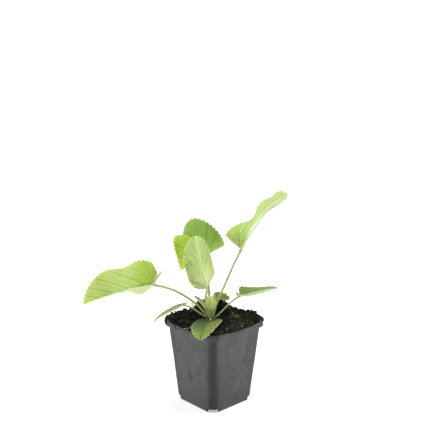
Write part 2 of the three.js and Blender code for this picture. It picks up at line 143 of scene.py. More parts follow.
def spread(tree, value, low, high, to_low=0, to_high=1):
    """A value stretched from one range to another, smoothly and without passing its ends."""
    made = add_node(tree, "ShaderNodeMapRange", {
        "Value": value, "From Min": low, "From Max": high, "To Min": to_low, "To Max": to_high},
        interpolation_type="SMOOTHSTEP")
    return made.outputs[0]


def mixed(tree, share, first, second, blend="MIX"):
    """Two colours mixed; share 0 gives the first."""
    inputs = {0: share, 6: first, 7: second}
    return add_node(tree, "ShaderNodeMix", inputs, data_type="RGBA", blend_type=blend).outputs[2]


def summed(tree, first, second, operation="ADD"):
    return add_node(tree, "ShaderNodeMath", {0: first, 1: second}, operation=operation).outputs[0]


def attribute(tree, name, output="Fac"):
    return add_node(tree, "ShaderNodeAttribute", attribute_name=name).outputs[output]


def relief(tree, height, depth_mm, strength=1, under=None):
    """A bump of a real depth, on top of an earlier one if there is one."""
    inputs = {"Height": height, "Distance": depth_mm * MM, "Strength": strength}
    if under:
        inputs["Normal"] = under
    return add_node(tree, "ShaderNodeBump", inputs).outputs[0]


print("blotches of 1 mm need a noise scale of", 0.5 / MM)

# %% [markdown]
# ## Surfaces
# Nearly everything here is one Principled shader. A number that is the same all over a surface is set
# on the shader's own socket, and only what varies is linked. A leaf is thin enough for the light
# behind it to glow through, so its surface also gets a share of a Translucent shader.

# %% Surfaces


def new_material(name):
    """A material with its Principled shader linked to the output."""
    material = bpy.data.materials.new(name)
    material.use_nodes = True
    tree = material.node_tree
    tree.nodes.clear()
    surface = tree.nodes.new("ShaderNodeBsdfPrincipled")
    output = tree.nodes.new("ShaderNodeOutputMaterial")
    tree.links.new(surface.outputs[0], output.inputs["Surface"])
    return material, tree, surface


def set_surface(tree, surface, inputs):
    for key, value in inputs.items():
        if isinstance(value, bpy.types.NodeSocket):
            tree.links.new(value, surface.inputs[key])
        else:
            surface.inputs[key].default_value = value


def let_light_through(tree, surface, color, share):
    """Mixes in a share of a Translucent shader."""
    glow = add_node(tree, "ShaderNodeBsdfTranslucent", {"Color": color})
    both = add_node(tree, "ShaderNodeMixShader", {0: share, 1: surface.outputs[0], 2: glow.outputs[0]})
    output = next(n for n in tree.nodes if n.type == "OUTPUT_MATERIAL")
    tree.links.new(both.outputs[0], output.inputs["Surface"])


print("helpers for materials ready")

# %% [markdown]
# ## The floor
# The pot stands on a plain pale floor. A bare white plane would turn grey in the pot's shade. This
# one glows a little, as a light table does, and most under the pot, so the shade stays faint.

# %% Floor
FLOOR_SIDE = 8
FLOOR_DROP = 0.1 * MM
GLOW_UNDER_POT, GLOW_BEYOND = 0.42, 0.17
GLOW_FADES_FROM, GLOW_FADES_TO = 0.036, 0.056


def make_floor():
    material, tree, surface = new_material("studio_floor")
    where = place(tree)
    tone = mixed(tree, grain(tree, where, 300), linear(250, 250, 250), linear(255, 255, 255))
    from_pot = add_node(tree, "ShaderNodeVectorMath", {0: where}, operation="LENGTH").outputs["Value"]
    glow = spread(tree, from_pot, GLOW_FADES_FROM, GLOW_FADES_TO, GLOW_UNDER_POT, GLOW_BEYOND)
    set_surface(tree, surface, {
        "Base Color": tone, "Roughness": 0.7, "Emission Color": tone, "Emission Strength": glow})
    bm = bmesh.new()
    bmesh.ops.create_grid(bm, x_segments=1, y_segments=1, size=FLOOR_SIDE / 2)
    bmesh.ops.translate(bm, vec=(0, 0, -FLOOR_DROP), verts=bm.verts)
    mesh = bpy.data.meshes.new("floor")
    bm.to_mesh(mesh)
    bm.free()
    mesh.materials.append(material)
    floor = bpy.data.objects.new("floor", mesh)
    bpy.context.scene.collection.objects.link(floor)
    return floor


make_floor()
print("floor of", FLOOR_SIDE, "m")

# %% [markdown]
# ## Softboxes
# Small lamps would throw hard shadows, and there are none in the photograph. So three large area
# lights, as soft as a studio's softboxes, stand overhead and at both sides, and point at the plant.

# %% Softboxes
AIM_AT = Vector((0, 0, 130 * MM))
# Name, place as seen from the front, side and power, in millimetres and watts.
SOFTBOXES = [
    ("top_softbox", (100, 100, 1300), 1000, 9),
    ("left_softbox", (-1200, 100, 500), 800, 6),
    ("right_softbox", (1200, 100, 600), 800, 6),
]

for name, place_mm, side_mm, power in SOFTBOXES:
    light = bpy.data.lights.new(name, "AREA")
    light.shape = "SQUARE"
    light.size = side_mm * MM
    light.energy = power
    softbox = bpy.data.objects.new(name, light)
    softbox.location = seen_from_front(*place_mm) * MM
    softbox.rotation_euler = (AIM_AT - softbox.location).to_track_quat("-Z", "Y").to_euler()
    bpy.context.scene.collection.objects.link(softbox)
    print(name, "at", [round(c, 2) for c in softbox.location])

# %% [markdown]
# ## The white room
# Most of the light comes from the room itself, a world background that shines from every side. It
# could be one even white. The side behind the camera is darker instead, so the pot's front corner
# is darker, too, and its two walls look flat and grey. Standard colour management keeps whites white.

# %% White room
BRIGHT_ROOM, DIM_ROOM = 1.05, 0.22
DIM_FROM, DIM_TO = 0.25, 0.9

scene = bpy.context.scene
scene.view_settings.view_transform = "Standard"
world = bpy.data.worlds.new("white_room")
world.use_nodes = True
scene.world = world
room = world.node_tree
room.nodes.clear()
direction = add_node(room, "ShaderNodeTexCoord").outputs["Generated"]
behind_camera = seen_from_front(0, -1, 0.1).normalized()
inputs = {0: direction, 1: behind_camera}
towards = add_node(room, "ShaderNodeVectorMath", inputs, operation="DOT_PRODUCT").outputs["Value"]
brightness = spread(room, towards, DIM_FROM, DIM_TO, BRIGHT_ROOM, DIM_ROOM)
sky = add_node(room, "ShaderNodeBackground", {"Color": (1, 1, 1, 1), "Strength": brightness})
room_output = room.nodes.new("ShaderNodeOutputWorld")
room.links.new(sky.outputs[0], room_output.inputs["Surface"])
print("the room shines from", DIM_ROOM, "to", BRIGHT_ROOM)

# %% Finish a piece


def finish_piece(name, bm, materials, node=None, sharp_degrees=None):
    bmesh.ops.scale(bm, vec=(MM, MM, MM), verts=bm.verts)
    mesh = bpy.data.meshes.new(name)
    bm.to_mesh(mesh)
    bm.free()
    for material in materials:
        mesh.materials.append(material)
    mesh.shade_smooth()
    if sharp_degrees:
        mesh.set_sharp_from_angle(angle=math.radians(sharp_degrees))
    piece = bpy.data.objects.new(name, mesh)
    bpy.context.scene.collection.objects.link(piece)
    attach(piece, "root")
    if node:
        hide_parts(node)
    triangles = sum(len(p.vertices) - 2 for p in mesh.polygons)
    size = [round(c / MM) for c in piece.dimensions]
    print(f"{name}: {triangles} triangles, {size} mm")


def close_and_face_out(bm):
    bmesh.ops.remove_doubles(bm, verts=bm.verts, dist=1e-4)
    bmesh.ops.recalc_face_normals(bm, faces=bm.faces)


print("pieces are scaled by", MM)

# %% [markdown]
# ## The pot
# The real pot is drawn from one thin sheet of plastic, so it could be modelled as a profile that is
# turned once round, as a lathe does, if only its rings were round. They are squares with rounded
# corners. So the first ring is a circle that is bent into such a square, and each extrude carries
# the ring on to the next height of the profile. Every point remembers its share of the way round.

# %% Rings that are rounded squares
ARC_SHARE = 0.5
NOTCH_DEPTH = 6.5


def rounded_square(half, radius, share, cut=None):
    """The point at a share of the way round.

    With a cut, each corner is a notch instead, whose sides stand back by that much.
    """
    corner, along = divmod(share * 4, 1)
    flat = half - radius - 2 * (cut or 0)
    if along < ARC_SHARE:
        turn = along / ARC_SHARE
        if cut is not None:
            inwards = NOTCH_DEPTH * min(1, 3 * turn, 3 - 3 * turn)
            across = min(1, max(0, 3 * turn - 1))
            x = half + (flat - half) * across - inwards
            y = flat + (half - flat) * across - inwards
        else:
            x = flat + radius * math.cos(turn * math.pi / 2)
            y = flat + radius * math.sin(turn * math.pi / 2)
    else:
        x = flat - 2 * flat * (along - ARC_SHARE) / (1 - ARC_SHARE)
        y = half
    return Matrix.Rotation(corner * math.pi / 2, 2) @ Vector((x, y))


def ring_shell(bm, rings, segments, point_at):
    """A closed shell through rings; point_at gives a vertex's place from its ring and its share."""
    share = bm.verts.layers.float.new("share")
    loop = bmesh.ops.create_circle(bm, cap_ends=True, segments=segments, radius=1)["verts"]
    for k, vertex in enumerate(loop):
        vertex[share] = k / segments
        vertex.co = point_at(rings[0], vertex[share])
    edges = list(bm.edges)
    for ring in rings[1:]:
        grown = bmesh.ops.extrude_edge_only(bm, edges=edges)["geom"]
        new = {g for g in grown if isinstance(g, bmesh.types.BMVert)}
        edges = [g for g in grown if isinstance(g, bmesh.types.BMEdge) and set(g.verts) <= new]
        for vertex in new:
            vertex.co = point_at(ring, vertex[share])
    bmesh.ops.edgeloop_fill(bm, edges=edges)


print(f"each corner takes {ARC_SHARE:.0%} of the points of its side")

# %% [markdown]
# ## The pot's rings
# A ring is a half width, a corner radius, a height and a cut. From the middle of the foot they run up
# the outside, out under the lip, over it and down the inside, so the wall is a closed shell of one
# thickness. Rings close together keep an edge crisp. Under each corner the foot is cut away.

# %% Pot sizes and rings
MIDDLE_HALF, MIDDLE_RADIUS = 2, 1
POT_HEIGHT = 100
FOOT_HALF, FOOT_RADIUS = 33, 9.3
SHOULDER_Z, SHOULDER_HALF, SHOULDER_RADIUS = 92.5, 41, 8.5
LIP_HALF, LIP_RADIUS = 45, 12
WALL = 1.2
EDGE = 0.5
NOTCH_HEIGHT = 4.25
DRAIN_RADIUS = 2.6
POT_SEGMENTS = 144
WALL_RINGS, RING_STEP = 7, 11
WAVER, WAVER_SIZE, WAVER_FREE_Z = 0.25, 38, 30


def wall_ring(z, inset=0, cut=None):
    share = z / SHOULDER_Z
    half = FOOT_HALF + (SHOULDER_HALF - FOOT_HALF) * share - inset
    radius = FOOT_RADIUS + (SHOULDER_RADIUS - FOOT_RADIUS) * share - inset
    return half, radius, z, cut


def lip_ring(inset, z):
    return LIP_HALF - inset, LIP_RADIUS - inset, z, None


def pot_rings():
    """From the middle of the foot up the outside, over the lip and down the inside."""
    soft = EDGE * 0.3
    outside = [
        (MIDDLE_HALF, MIDDLE_RADIUS, 0, None), wall_ring(0, 0.25, 0), wall_ring(0.15, 0.05, 0),
        wall_ring(0.5, 0, 0), wall_ring(NOTCH_HEIGHT, 0, 0), wall_ring(NOTCH_HEIGHT),
        wall_ring(NOTCH_HEIGHT + 0.4),
        *[wall_ring(NOTCH_HEIGHT + k * RING_STEP) for k in range(1, WALL_RINGS + 1)],
        wall_ring(SHOULDER_Z - 0.6), wall_ring(SHOULDER_Z, -0.3),
        lip_ring(EDGE, SHOULDER_Z), lip_ring(soft, SHOULDER_Z + soft), lip_ring(0, SHOULDER_Z + EDGE),
        lip_ring(0, POT_HEIGHT - EDGE), lip_ring(soft, POT_HEIGHT - soft), lip_ring(EDGE, POT_HEIGHT)]
    inside = [
        lip_ring(WALL, POT_HEIGHT - EDGE), lip_ring(WALL, SHOULDER_Z + WALL),
        wall_ring(SHOULDER_Z + WALL, WALL), wall_ring(NOTCH_HEIGHT + WALL, WALL),
        wall_ring(NOTCH_HEIGHT + WALL, WALL, WALL), wall_ring(WALL, WALL, WALL),
        (MIDDLE_HALF, MIDDLE_RADIUS, WALL, None)]
    return outside + inside


def pot_point(ring, share):
    """A ring's point, with the faint waver that thin drawn plastic has above its foot."""
    half, radius, z, cut = ring
    flat_point = rounded_square(half, radius, share, cut)
    waver = noise.noise(Vector((*flat_point, z)) / WAVER_SIZE) * WAVER * min(1, z / WAVER_FREE_Z)
    return Vector((*(flat_point * (1 + waver / half)), z))


print(len(pot_rings()), "rings of", POT_SEGMENTS, "points")

# %% [markdown]
# ## Drain holes
# Each corner's cut-out has a drain hole in its ceiling. The hole's edge could be built into the
# rings. A boolean modifier with a cylinder as the cutter is simpler, and leaves a clean round edge.

# %% Drain holes


def drill_drains(piece_mesh):
    """Cuts the four holes out of a mesh and returns the result."""
    middle = FOOT_HALF - FOOT_RADIUS + DRAIN_RADIUS + WALL / 2
    cutters = bmesh.new()
    for corner in range(4):
        turn = Matrix.Rotation(corner * math.pi / 2, 4, "Z")
        bmesh.ops.create_cone(
            cutters, cap_ends=True, segments=24, radius1=DRAIN_RADIUS, radius2=DRAIN_RADIUS,
            depth=4 * WALL, matrix=turn @ Matrix.Translation((middle, middle, NOTCH_HEIGHT)))
    cutter_mesh = bpy.data.meshes.new("drain_cutter")
    cutters.to_mesh(cutter_mesh)
    cutters.free()
    cutter = bpy.data.objects.new("drain_cutter", cutter_mesh)
    blank = bpy.data.objects.new("pot_blank", piece_mesh)
    for o in (cutter, blank):
        bpy.context.scene.collection.objects.link(o)
    drill = blank.modifiers.new("drains", "BOOLEAN")
    drill.operation = "DIFFERENCE"
    drill.object = cutter
    bpy.context.view_layer.update()
    drilled = blank.evaluated_get(bpy.context.evaluated_depsgraph_get())
    cut = bpy.data.meshes.new_from_object(drilled)
    bpy.data.objects.remove(blank)
    bpy.data.objects.remove(cutter)
    return cut


print("four drain holes,", 2 * DRAIN_RADIUS, "mm wide")

# %% [markdown]
# ## Pot plastic
# The pot is recycled plastic: a flat grey with dried smears of water, fine scratches up and down, a
# faint orange peel from the mould, and damp earth caught under the lip on the left. Paint or an
# image texture could show all that. Layers of noise at different sizes do it without a picture.
# The corners are darker, a painted shade that an attribute marks.

# %% Pot plastic
# Painted shade: the colour at the corners is multiplied by this.
CORNER_SHADE = 0.42, 0.42, 0.43, 1


def earth_at_rim(tree):
    """How much earth sticks to the plastic: only near the lip, on the -X wall, in patches."""
    apart = add_node(tree, "ShaderNodeSeparateXYZ", {0: place(tree)}).outputs
    near_lip = spread(tree, apart["Z"], 0.09, 0.098)
    on_left_wall = spread(tree, apart["X"], -0.0445, -0.038, 1, 0)
    patches = spread(tree, grain(tree, place(tree), 2.2, 3, 0.65), 0.4, 0.6, 0, 0.85)
    return summed(tree, summed(tree, near_lip, on_left_wall, "MULTIPLY"), patches, "MULTIPLY")


def pot_plastic():
    material, tree, surface = new_material("pot_plastic")
    smears = grain(tree, place(tree, (1, 1, 0.45)), 11, 5, 0.62, 0.6)
    smudges = grain(tree, place(tree, (1, 1, 0.7)), 4.5, 4, 0.6, 1.2)
    dust = grain(tree, place(tree), 0.7, 2)
    scratches = grain(tree, place(tree, (1, 1, 0.04), (0.2, 0.1, 0)), 0.35, 2, 0.7)
    color = mixed(tree, spread(tree, smears, 0.35, 0.7), linear(66, 67, 68), linear(79, 79, 80))
    color = mixed(tree, spread(tree, smudges, 0.54, 0.7, 0, 0.65), color, linear(50, 49, 48))
    color = mixed(tree, spread(tree, dust, 0.6, 0.8, 0, 0.3), color, linear(100, 98, 94))
    # Painted shade, darkest at the middle of each corner.
    color = mixed(tree, attribute(tree, "corner"), color, CORNER_SHADE, "MULTIPLY")
    earth = mixed(tree, spread(tree, dust, 0.4, 0.6), linear(38, 36, 30), linear(112, 112, 92))
    color = mixed(tree, earth_at_rim(tree), color, earth)
    peel = grain(tree, place(tree), 1.6, 1)
    normal = relief(tree, peel, 0.05, 0.5)
    normal = relief(tree, scratches, 0.02, 0.5, normal)
    roughness = spread(tree, summed(tree, smears, smudges), 0.7, 1.3, 0.3, 0.52)
    set_surface(tree, surface, {
        "Base Color": color, "Roughness": roughness, "Normal": normal, "Specular IOR Level": 0.2})
    return material


print("pot plastic described")

# %% [markdown]
# ## The pot, put together
# The rings are run through ring_shell, each point is marked by how near it lies to a corner, for the
# painted shade there, and the shell is drilled. Faces that meet at more than 32 degrees keep a sharp
# edge between them.

# %% Build the pot
CORNER_REACH = 0.3
# How much of the painted corner shade reaches the lip.
LIP_CORNER_SHARE = 0.5


def near_corner(share):
    """1 at the middle of a corner, falling to 0 towards the flat walls."""
    away = abs((share * 4 - ARC_SHARE / 2 + 0.5) % 1 - 0.5) / CORNER_REACH
    return max(0, 1 - away**3)


def make_pot():
    bm = bmesh.new()
    ring_shell(bm, pot_rings(), POT_SEGMENTS, pot_point)
    # The corner mark says how much painted shade each point gets.
    share, corner = bm.verts.layers.float["share"], bm.verts.layers.float.new("corner")
    for vertex in bm.verts:
        vertex[corner] = near_corner(vertex[share]) * (1 if vertex.co.z < SHOULDER_Z else LIP_CORNER_SHARE)
    close_and_face_out(bm)
    blank = bpy.data.meshes.new("pot_blank")
    bm.to_mesh(blank)
    bm.clear()
    bm.from_mesh(drill_drains(blank))
    finish_piece("nursery_pot", bm, [pot_plastic()], "pot", 32)


make_pot()

# %% [markdown]
# ## Leaves: where every point lies
# A blade follows its midrib, and the midrib and the stalk are smooth curves. Blender has curve
# objects for that. Here each point of a blade has to find its place on the curve, so a few small
# functions give points on it at equal distances, and values that change smoothly along it.

# %% Curves


def clamp(value, low=0.0, high=1.0):
    return max(low, min(high, value))


def lerp(first, second, share):
    return first + (second - first) * share


def smooth_step(low, high, value):
    t = clamp((value - low) / (high - low))
    return t * t * (3 - 2 * t)


def cubic_curve(points, t):
    """A point on the curve from the first point to the last, drawn towards the two between them."""
    a, b, c, d = points
    s = 1 - t
    return a * s**3 + b * (3 * s * s * t) + c * (3 * s * t * t) + d * t**3


def even_steps(points, steps):
    """Points at equal distances along a polyline, and its length."""
    lengths = [0]
    for a, b in zip(points, points[1:]):
        lengths.append(lengths[-1] + (b - a).length)
    found, k = [], 0
    for step in range(steps + 1):
        goal = lengths[-1] * step / steps
        while k < len(points) - 2 and lengths[k + 1] < goal:
            k += 1
        share = (goal - lengths[k]) / max(lengths[k + 1] - lengths[k], 1e-9)
        found.append(points[k].lerp(points[k + 1], clamp(share)))
    return found, lengths[-1]


def smooth_through(stations, values, x):
    """A smooth curve through the values at the stations, held level beyond both ends."""
    last = len(stations) - 1
    at = clamp(x, stations[0], stations[last])
    k = max(i for i in range(last) if stations[i] <= at)
    slopes = [(values[i + 1] - values[i]) / (stations[i + 1] - stations[i]) for i in range(last)]
    before = slopes[0] if k == 0 else (slopes[k - 1] + slopes[k]) / 2
    after = slopes[-1] if k == last - 1 else (slopes[k] + slopes[k + 1]) / 2
    span = stations[k + 1] - stations[k]
    t = (at - stations[k]) / span
    return (
        (2 * t**3 - 3 * t * t + 1) * values[k] + (t**3 - 2 * t * t + t) * span * before
        + (3 * t * t - 2 * t**3) * values[k + 1] + (t**3 - t * t) * span * after)


print("a smooth step at a quarter of its way:", smooth_step(0, 1, 0.25))

# %% [markdown]
# ## Leaves: the midrib and the blade's surface
# The midrib has a frame at every step: along it, up from it and to its left. A point x along the
# midrib and y out from it, both as shares of the blade's length, is placed by those frames. How
# steeply each half stands up changes from the base to the tip, the half rolls over its width, and
# the basal lobe bends down. A lattice could bend a flat blade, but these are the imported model's own
# rules and numbers, so each leaf lies where its node lies.

# %% Midrib and blade surface
FRAMES = 32
STATIONS = [0.1, 0.37, 0.65, 1]


class Midrib:
    """A leaf's midrib, with a frame at every step."""

    def __init__(self, leaf):
        spine = [Vector(p) for p in leaf["spine"]]
        self.points, self.length = even_steps([cubic_curve(spine, t / 200) for t in range(201)], FRAMES)
        heading = math.radians(leaf["heading"])
        level = Vector((-math.sin(heading), math.cos(heading), 0))
        self.along, self.up, self.left = [], [], []
        for k, point in enumerate(self.points):
            before, after = self.points[max(k - 1, 0)], self.points[min(k + 1, FRAMES)]
            along = (after - before).normalized()
            up = self.up[-1].copy() if k else along.cross(level)
            up = (up - along * up.dot(along)).normalized()
            self.along.append(along)
            self.up.append(up)
            self.left.append(up.cross(along))

    def at(self, x):
        place_on = clamp(x) * FRAMES
        k = min(int(place_on), FRAMES - 1)
        share = place_on - k
        rows = (self.points, self.along, self.up, self.left)
        return [row[k].lerp(row[k + 1], share) for row in rows]


def blade_point(leaf, rib, side, x, y):
    """The place of a point of the blade, in millimetres."""
    half = leaf["left"] if side > 0 else leaf["right"]
    rise_angles, curl_angle, lobe_curl = half
    point, along, up, left = rib.at(x)
    behind = min(x, 0)
    bend = math.radians(lobe_curl) * clamp(-behind / max(leaf["lobe"], 1e-3), 0, 1.2)
    point = point + along * (behind * rib.length * math.cos(bend / 2))
    point -= up * (behind * rib.length * math.sin(bend / 2))
    normal = up * math.cos(bend) + along * math.sin(bend)
    stations = [-1.1 * max(leaf["lobe"], 0.02), *STATIONS]
    rise = math.radians(smooth_through(stations, rise_angles, x))
    curl = math.radians(curl_angle or 0.01) / leaf["width"]
    out = (math.sin(rise + curl * y) - math.sin(rise)) / curl
    lift = (math.cos(rise) - math.cos(rise + curl * y)) / curl
    return point + left * (side * out * rib.length) + normal * (lift * rib.length)


print(FRAMES, "frames on each midrib")

# %% [markdown]
# ## Leaves: the margin
# The margin is crenate, which means that it has rounded teeth. Half of it is two cubic curves, one
# round the basal lobe and one to the tip. A few soft pulls give a leaf its own outline. The teeth
# could be cut with a boolean. Moving the margin's points in and out is lighter, and lets the teeth
# lean towards the tip and differ in size, as real ones do.

# %% Margin
TOOTH_WIDTH = 4.8
TOOTH_DEPTH = 1.9


def half_margin(leaf, steps):
    """Points on half the margin, from the stalk to the tip, and its length, for a blade of length 1."""
    width, widest, lobe, blunt = leaf["width"], leaf["widest"], leaf["lobe"], leaf["blunt"]
    base = [(0, 0), (-1.3 * lobe, 0.12 * width), (-1.25 * lobe - 0.02, width), (widest, width)]
    tip = [(widest, width), (widest + 0.52 * (1 - widest), width), (0.98, width * blunt), (1, 0)]
    curve = [cubic_curve([Vector(p) for p in part], t / 60) for part in (base, tip) for t in range(61)]
    return even_steps(curve, steps)


def pulled(margin, pulls):
    """The margin drawn out at some places, each given by its share of the way, its reach and a move."""
    last = len(margin) - 1
    for center, reach, x, y in pulls:
        margin = [
            point + Vector((x, y)) * math.exp(-(((k / last - center) / reach) ** 2))
            for k, point in enumerate(margin)]
    return margin


def toothed(margin, leaf, length, around):
    """The margin with its teeth: rounded, leaning to the tip, and fading out at both ends."""
    teeth = round(around * length / TOOTH_WIDTH)
    last = len(margin) - 1
    shaped = []
    for k, point in enumerate(margin):
        before, after = margin[max(k - 1, 0)], margin[min(k + 1, last)]
        out = Vector((-(after - before).y, (after - before).x)).normalized()
        phase = k / last * teeth % 1
        tooth = abs(math.sin(math.pi * phase**0.85)) ** 0.8 - 0.65
        tooth *= 1 + 0.35 * noise.noise(Vector((k / last * teeth // 1, length, 0)))
        fade = smooth_step(0.03, 0.12, k / last) * (1 - smooth_step(0.985, 1, k / last))
        shaped.append(point + out * (tooth * leaf.get("teeth", 1) * TOOTH_DEPTH * fade / length))
    return shaped


print("teeth", TOOTH_WIDTH, "mm wide and", TOOTH_DEPTH, "mm deep")

# %% [markdown]
# ## Leaves: veins and quilting
# A few long side veins leave the midrib at a slant, most of them near the base, where they
# spread like a fan into the lobe. Lesser veins cross between them, and the tissue in each mesh of
# this net swells up in a small cushion. A cell pattern would scatter the cushions. Measuring each
# point's distance to the nearest vein keeps them in rows between the side veins, as on the leaf.

# %% Veins and quilting
FAN_SHARE = 0.4
FAN_VEINS = [0.12, 0.23, 0.32]
RIB_VEINS = [0.02, 0.13, 0.35, 0.57, 0.78]
CUSHION_MM = 3.6


def rib_start(u):
    """Where on the midrib the line begins that ends at share u of the margin."""
    return clamp((u - FAN_SHARE) / (1 - FAN_SHARE)) ** 2


def vein_lines(leaf):
    """Where the side veins end, as shares of the way round the margin."""
    fan = FAN_VEINS if leaf["lobe"] > 0.03 else FAN_VEINS[1:2]
    return fan + [FAN_SHARE + (1 - FAN_SHARE) * math.sqrt(x) for x in leaf.get("veins", RIB_VEINS)]


def quilt(u, v, lines, gap_mm, line_mm, seed):
    """Distances in mm to the nearest side vein and lesser vein, and a number that marks the cushion."""
    k = sum(line <= u for line in lines)
    low = lines[k - 1] if k else -lines[0]
    high = lines[k] if k < len(lines) else 2 - lines[-1]
    across = (u - low) / (high - low)
    width = (high - low) * gap_mm
    side = min(across, 1 - across) * width
    waver = 0.16 * noise.noise(Vector((k * 7.3, v * line_mm / 6, seed)))
    middle = abs(across - 0.5 - waver) * width
    half = 1 if across > 0.5 + waver else 0
    jitter = noise.noise(Vector((k * 7.3 + half * 31, v * line_mm / 9, seed)))
    run = v * line_mm / CUSHION_MM + k * 0.37 + half * 0.5 + 0.9 * jitter + 0.7 * (across - 0.5)
    cross = (0.5 - abs(run % 1 - 0.5)) * CUSHION_MM
    return side, min(cross, middle), run // 1 + 13 * k + 57 * half


print(len(FAN_VEINS), "veins in the fan and", len(RIB_VEINS), "along the midrib, on each half")

# %% [markdown]
# ## Leaves: what each point is marked with
# The same distances give the relief and the marks for the material. A bell curve over the distance
# makes a soft line: wide for the midrib, narrow for the lesser veins. A bump texture could fake the
# relief, but real height in the mesh also shows in the outline, and in the exported meshes.

# %% Marks and relief
# In millimetres: the midrib at its base and its tip, and a side vein at the midrib and the margin.
MIDRIB_REACH = 1.3, 0.5
SIDE_VEIN_REACH = 0.55, 0.35
LESSER_VEIN_REACH = 0.45
SIDE_VEIN_STRENGTH, LESSER_VEIN_STRENGTH = 0.8, 0.42
CUSHION_HEIGHT, MIDRIB_SINK = 0.62, 0.35


def soft_line(distance, reach):
    return math.exp(-((distance / reach) ** 2))


def mark_point(vertex, marks, leaf, side, u, v, midrib, to_rib, to_veins):
    """Writes a point's marks: how near it is to veins and edge, and how high its relief is."""
    vein, cushion, edge, height, side_of = marks
    to_side, to_cross, number = to_veins
    side_vein = soft_line(to_side, lerp(*SIDE_VEIN_REACH, v)) * (1 - 0.4 * v)
    lesser_vein = soft_line(to_cross, LESSER_VEIN_REACH) * smooth_step(0.3, 1.2, to_side)
    vertex[vein] = clamp(
        max(midrib, SIDE_VEIN_STRENGTH * side_vein, LESSER_VEIN_STRENGTH * lesser_vein))
    net = smooth_step(0, 1.2, to_side) * smooth_step(-1.2, 1.3, to_cross)
    vertex[cushion] = net * smooth_step(0, 1.5, to_rib)
    # This mark also carries the painted highlight along the margin, which fades out near the stalk.
    vertex[edge] = v * smooth_step(0.03, 0.2, u)
    vertex[side_of] = side * smooth_step(0, 1.5, to_rib)
    puff = smooth_step(0, 2.2, to_side) * (0.62 + 0.38 * smooth_step(0, 1.3, to_cross))
    puff *= smooth_step(0, 2.5, to_rib)
    swell = 0.85 + 0.3 * noise.noise(Vector((number, leaf["heading"], 0)))
    relief_mm = CUSHION_HEIGHT * puff * swell - MIDRIB_SINK * midrib
    vertex[height] = leaf.get("relief", 1) * relief_mm * (0.35 + 0.65 * smooth_step(0, 0.12, 1 - v))


print("cushions up to", CUSHION_HEIGHT, "mm high")

# %% [markdown]
# ## Leaves: the blade's mesh
# If a grid's own lines run along the side veins, each vein is crisp with few faces. So one grid makes
# a whole blade, laid out along them. Its two directions are u, round the margin from the stalk to
# the tip, and s, from the right margin over the midrib to the left one. Where lines meet at the
# stalk and at the tip, remove_doubles welds them.

# %% Blade mesh
RIB_SPREAD = 1.25
VEIN_SAG = 0.03


def blade_grid(leaf, rib):
    """The middle surface of a blade, with what each point needs for its relief and its colour."""
    steps = leaf["steps"]
    plain, around = half_margin(leaf, steps)
    margins = {
        side: toothed(pulled(plain, leaf.get(key, [])), leaf, rib.length, around)
        for side, key in ((1, "pull_left"), (-1, "pull_right"))}
    lines = vein_lines(leaf)
    bm = bmesh.new()
    bmesh.ops.create_grid(bm, x_segments=steps, y_segments=2 * leaf["rows"], size=0.5)
    marks = [bm.verts.layers.float.new(n) for n in ("vein", "cushion", "edge", "height", "side_of")]
    for vertex in bm.verts:
        u = vertex.co.x + 0.5
        s = vertex.co.y * 2
        side = 1 if s >= 0 else -1
        v = abs(s) ** RIB_SPREAD
        on_rib = rib_start(u)
        rim = margins[side][round(u * steps)]
        x = lerp(on_rib, rim.x, v) - 4 * VEIN_SAG * v * (1 - v) * smooth_step(0.2, 0.5, u) * (1 - u)
        y = rim.y * v
        line_mm = math.hypot(rim.x - on_rib, rim.y) * rib.length
        gap_mm = lerp(rib.length / (1 - FAN_SHARE) * 1.1 * math.sqrt(on_rib), around * rib.length, v)
        to_rib = y * rib.length
        to_veins = quilt(u, v, lines, gap_mm, line_mm, leaf["heading"] + side)
        midrib = soft_line(to_rib, lerp(*MIDRIB_REACH, on_rib)) if x > -0.01 else 0
        mark_point(vertex, marks, leaf, side, u, v, midrib, to_rib, to_veins)
        vertex.co = blade_point(leaf, rib, side, x, y)
    return bm


print("blade grid ready")

# %% [markdown]
# ## Leaves: relief and thickness
# Each point moves along its normal by its relief. Then an extrude gives the sheet its thickness, and
# the new faces get the material of the underside. A solidify modifier can do the same, but it would
# thicken the stalk, too, which joins the same mesh next.

# %% Relief and thickness
THICKNESS = 0.75
UPPER_SKIN, UNDER_SKIN, STALK_SKIN = 0, 1, 2  # places in a leaf's list of materials


def press_relief(bm):
    """Moves each point along its normal by its height."""
    height = bm.verts.layers.float["height"]
    bm.normal_update()
    moves = [(v, v.normal * v[height]) for v in bm.verts]
    for vertex, move in moves:
        vertex.co += move


def give_thickness(bm):
    """Extrudes the sheet downwards. Its own faces stay the upper side, and the new ones face down."""
    bm.normal_update()
    upper = set(bm.faces)
    grown = bmesh.ops.extrude_face_region(bm, geom=bm.faces[:], use_keep_orig=True)["geom"]
    for part in grown:
        if isinstance(part, bmesh.types.BMVert):
            part.co -= part.normal * THICKNESS
    bmesh.ops.recalc_face_normals(bm, faces=bm.faces)
    for face in bm.faces:
        face.material_index = UPPER_SKIN if face in upper else UNDER_SKIN


print("blades are", THICKNESS, "mm thick")

# %% [markdown]
# ## Leaves: tubes
# A stalk is a tube with a shallow groove along its upper side. A curve object with a bevel would
# make a tube, too, but its twist is hard to steer, and the groove has to stay on top. So a sheet is
# rolled up round a smooth curve, its seam is welded and its two ends are filled.

# %% Tubes
GROOVE_SPREAD = 0.5


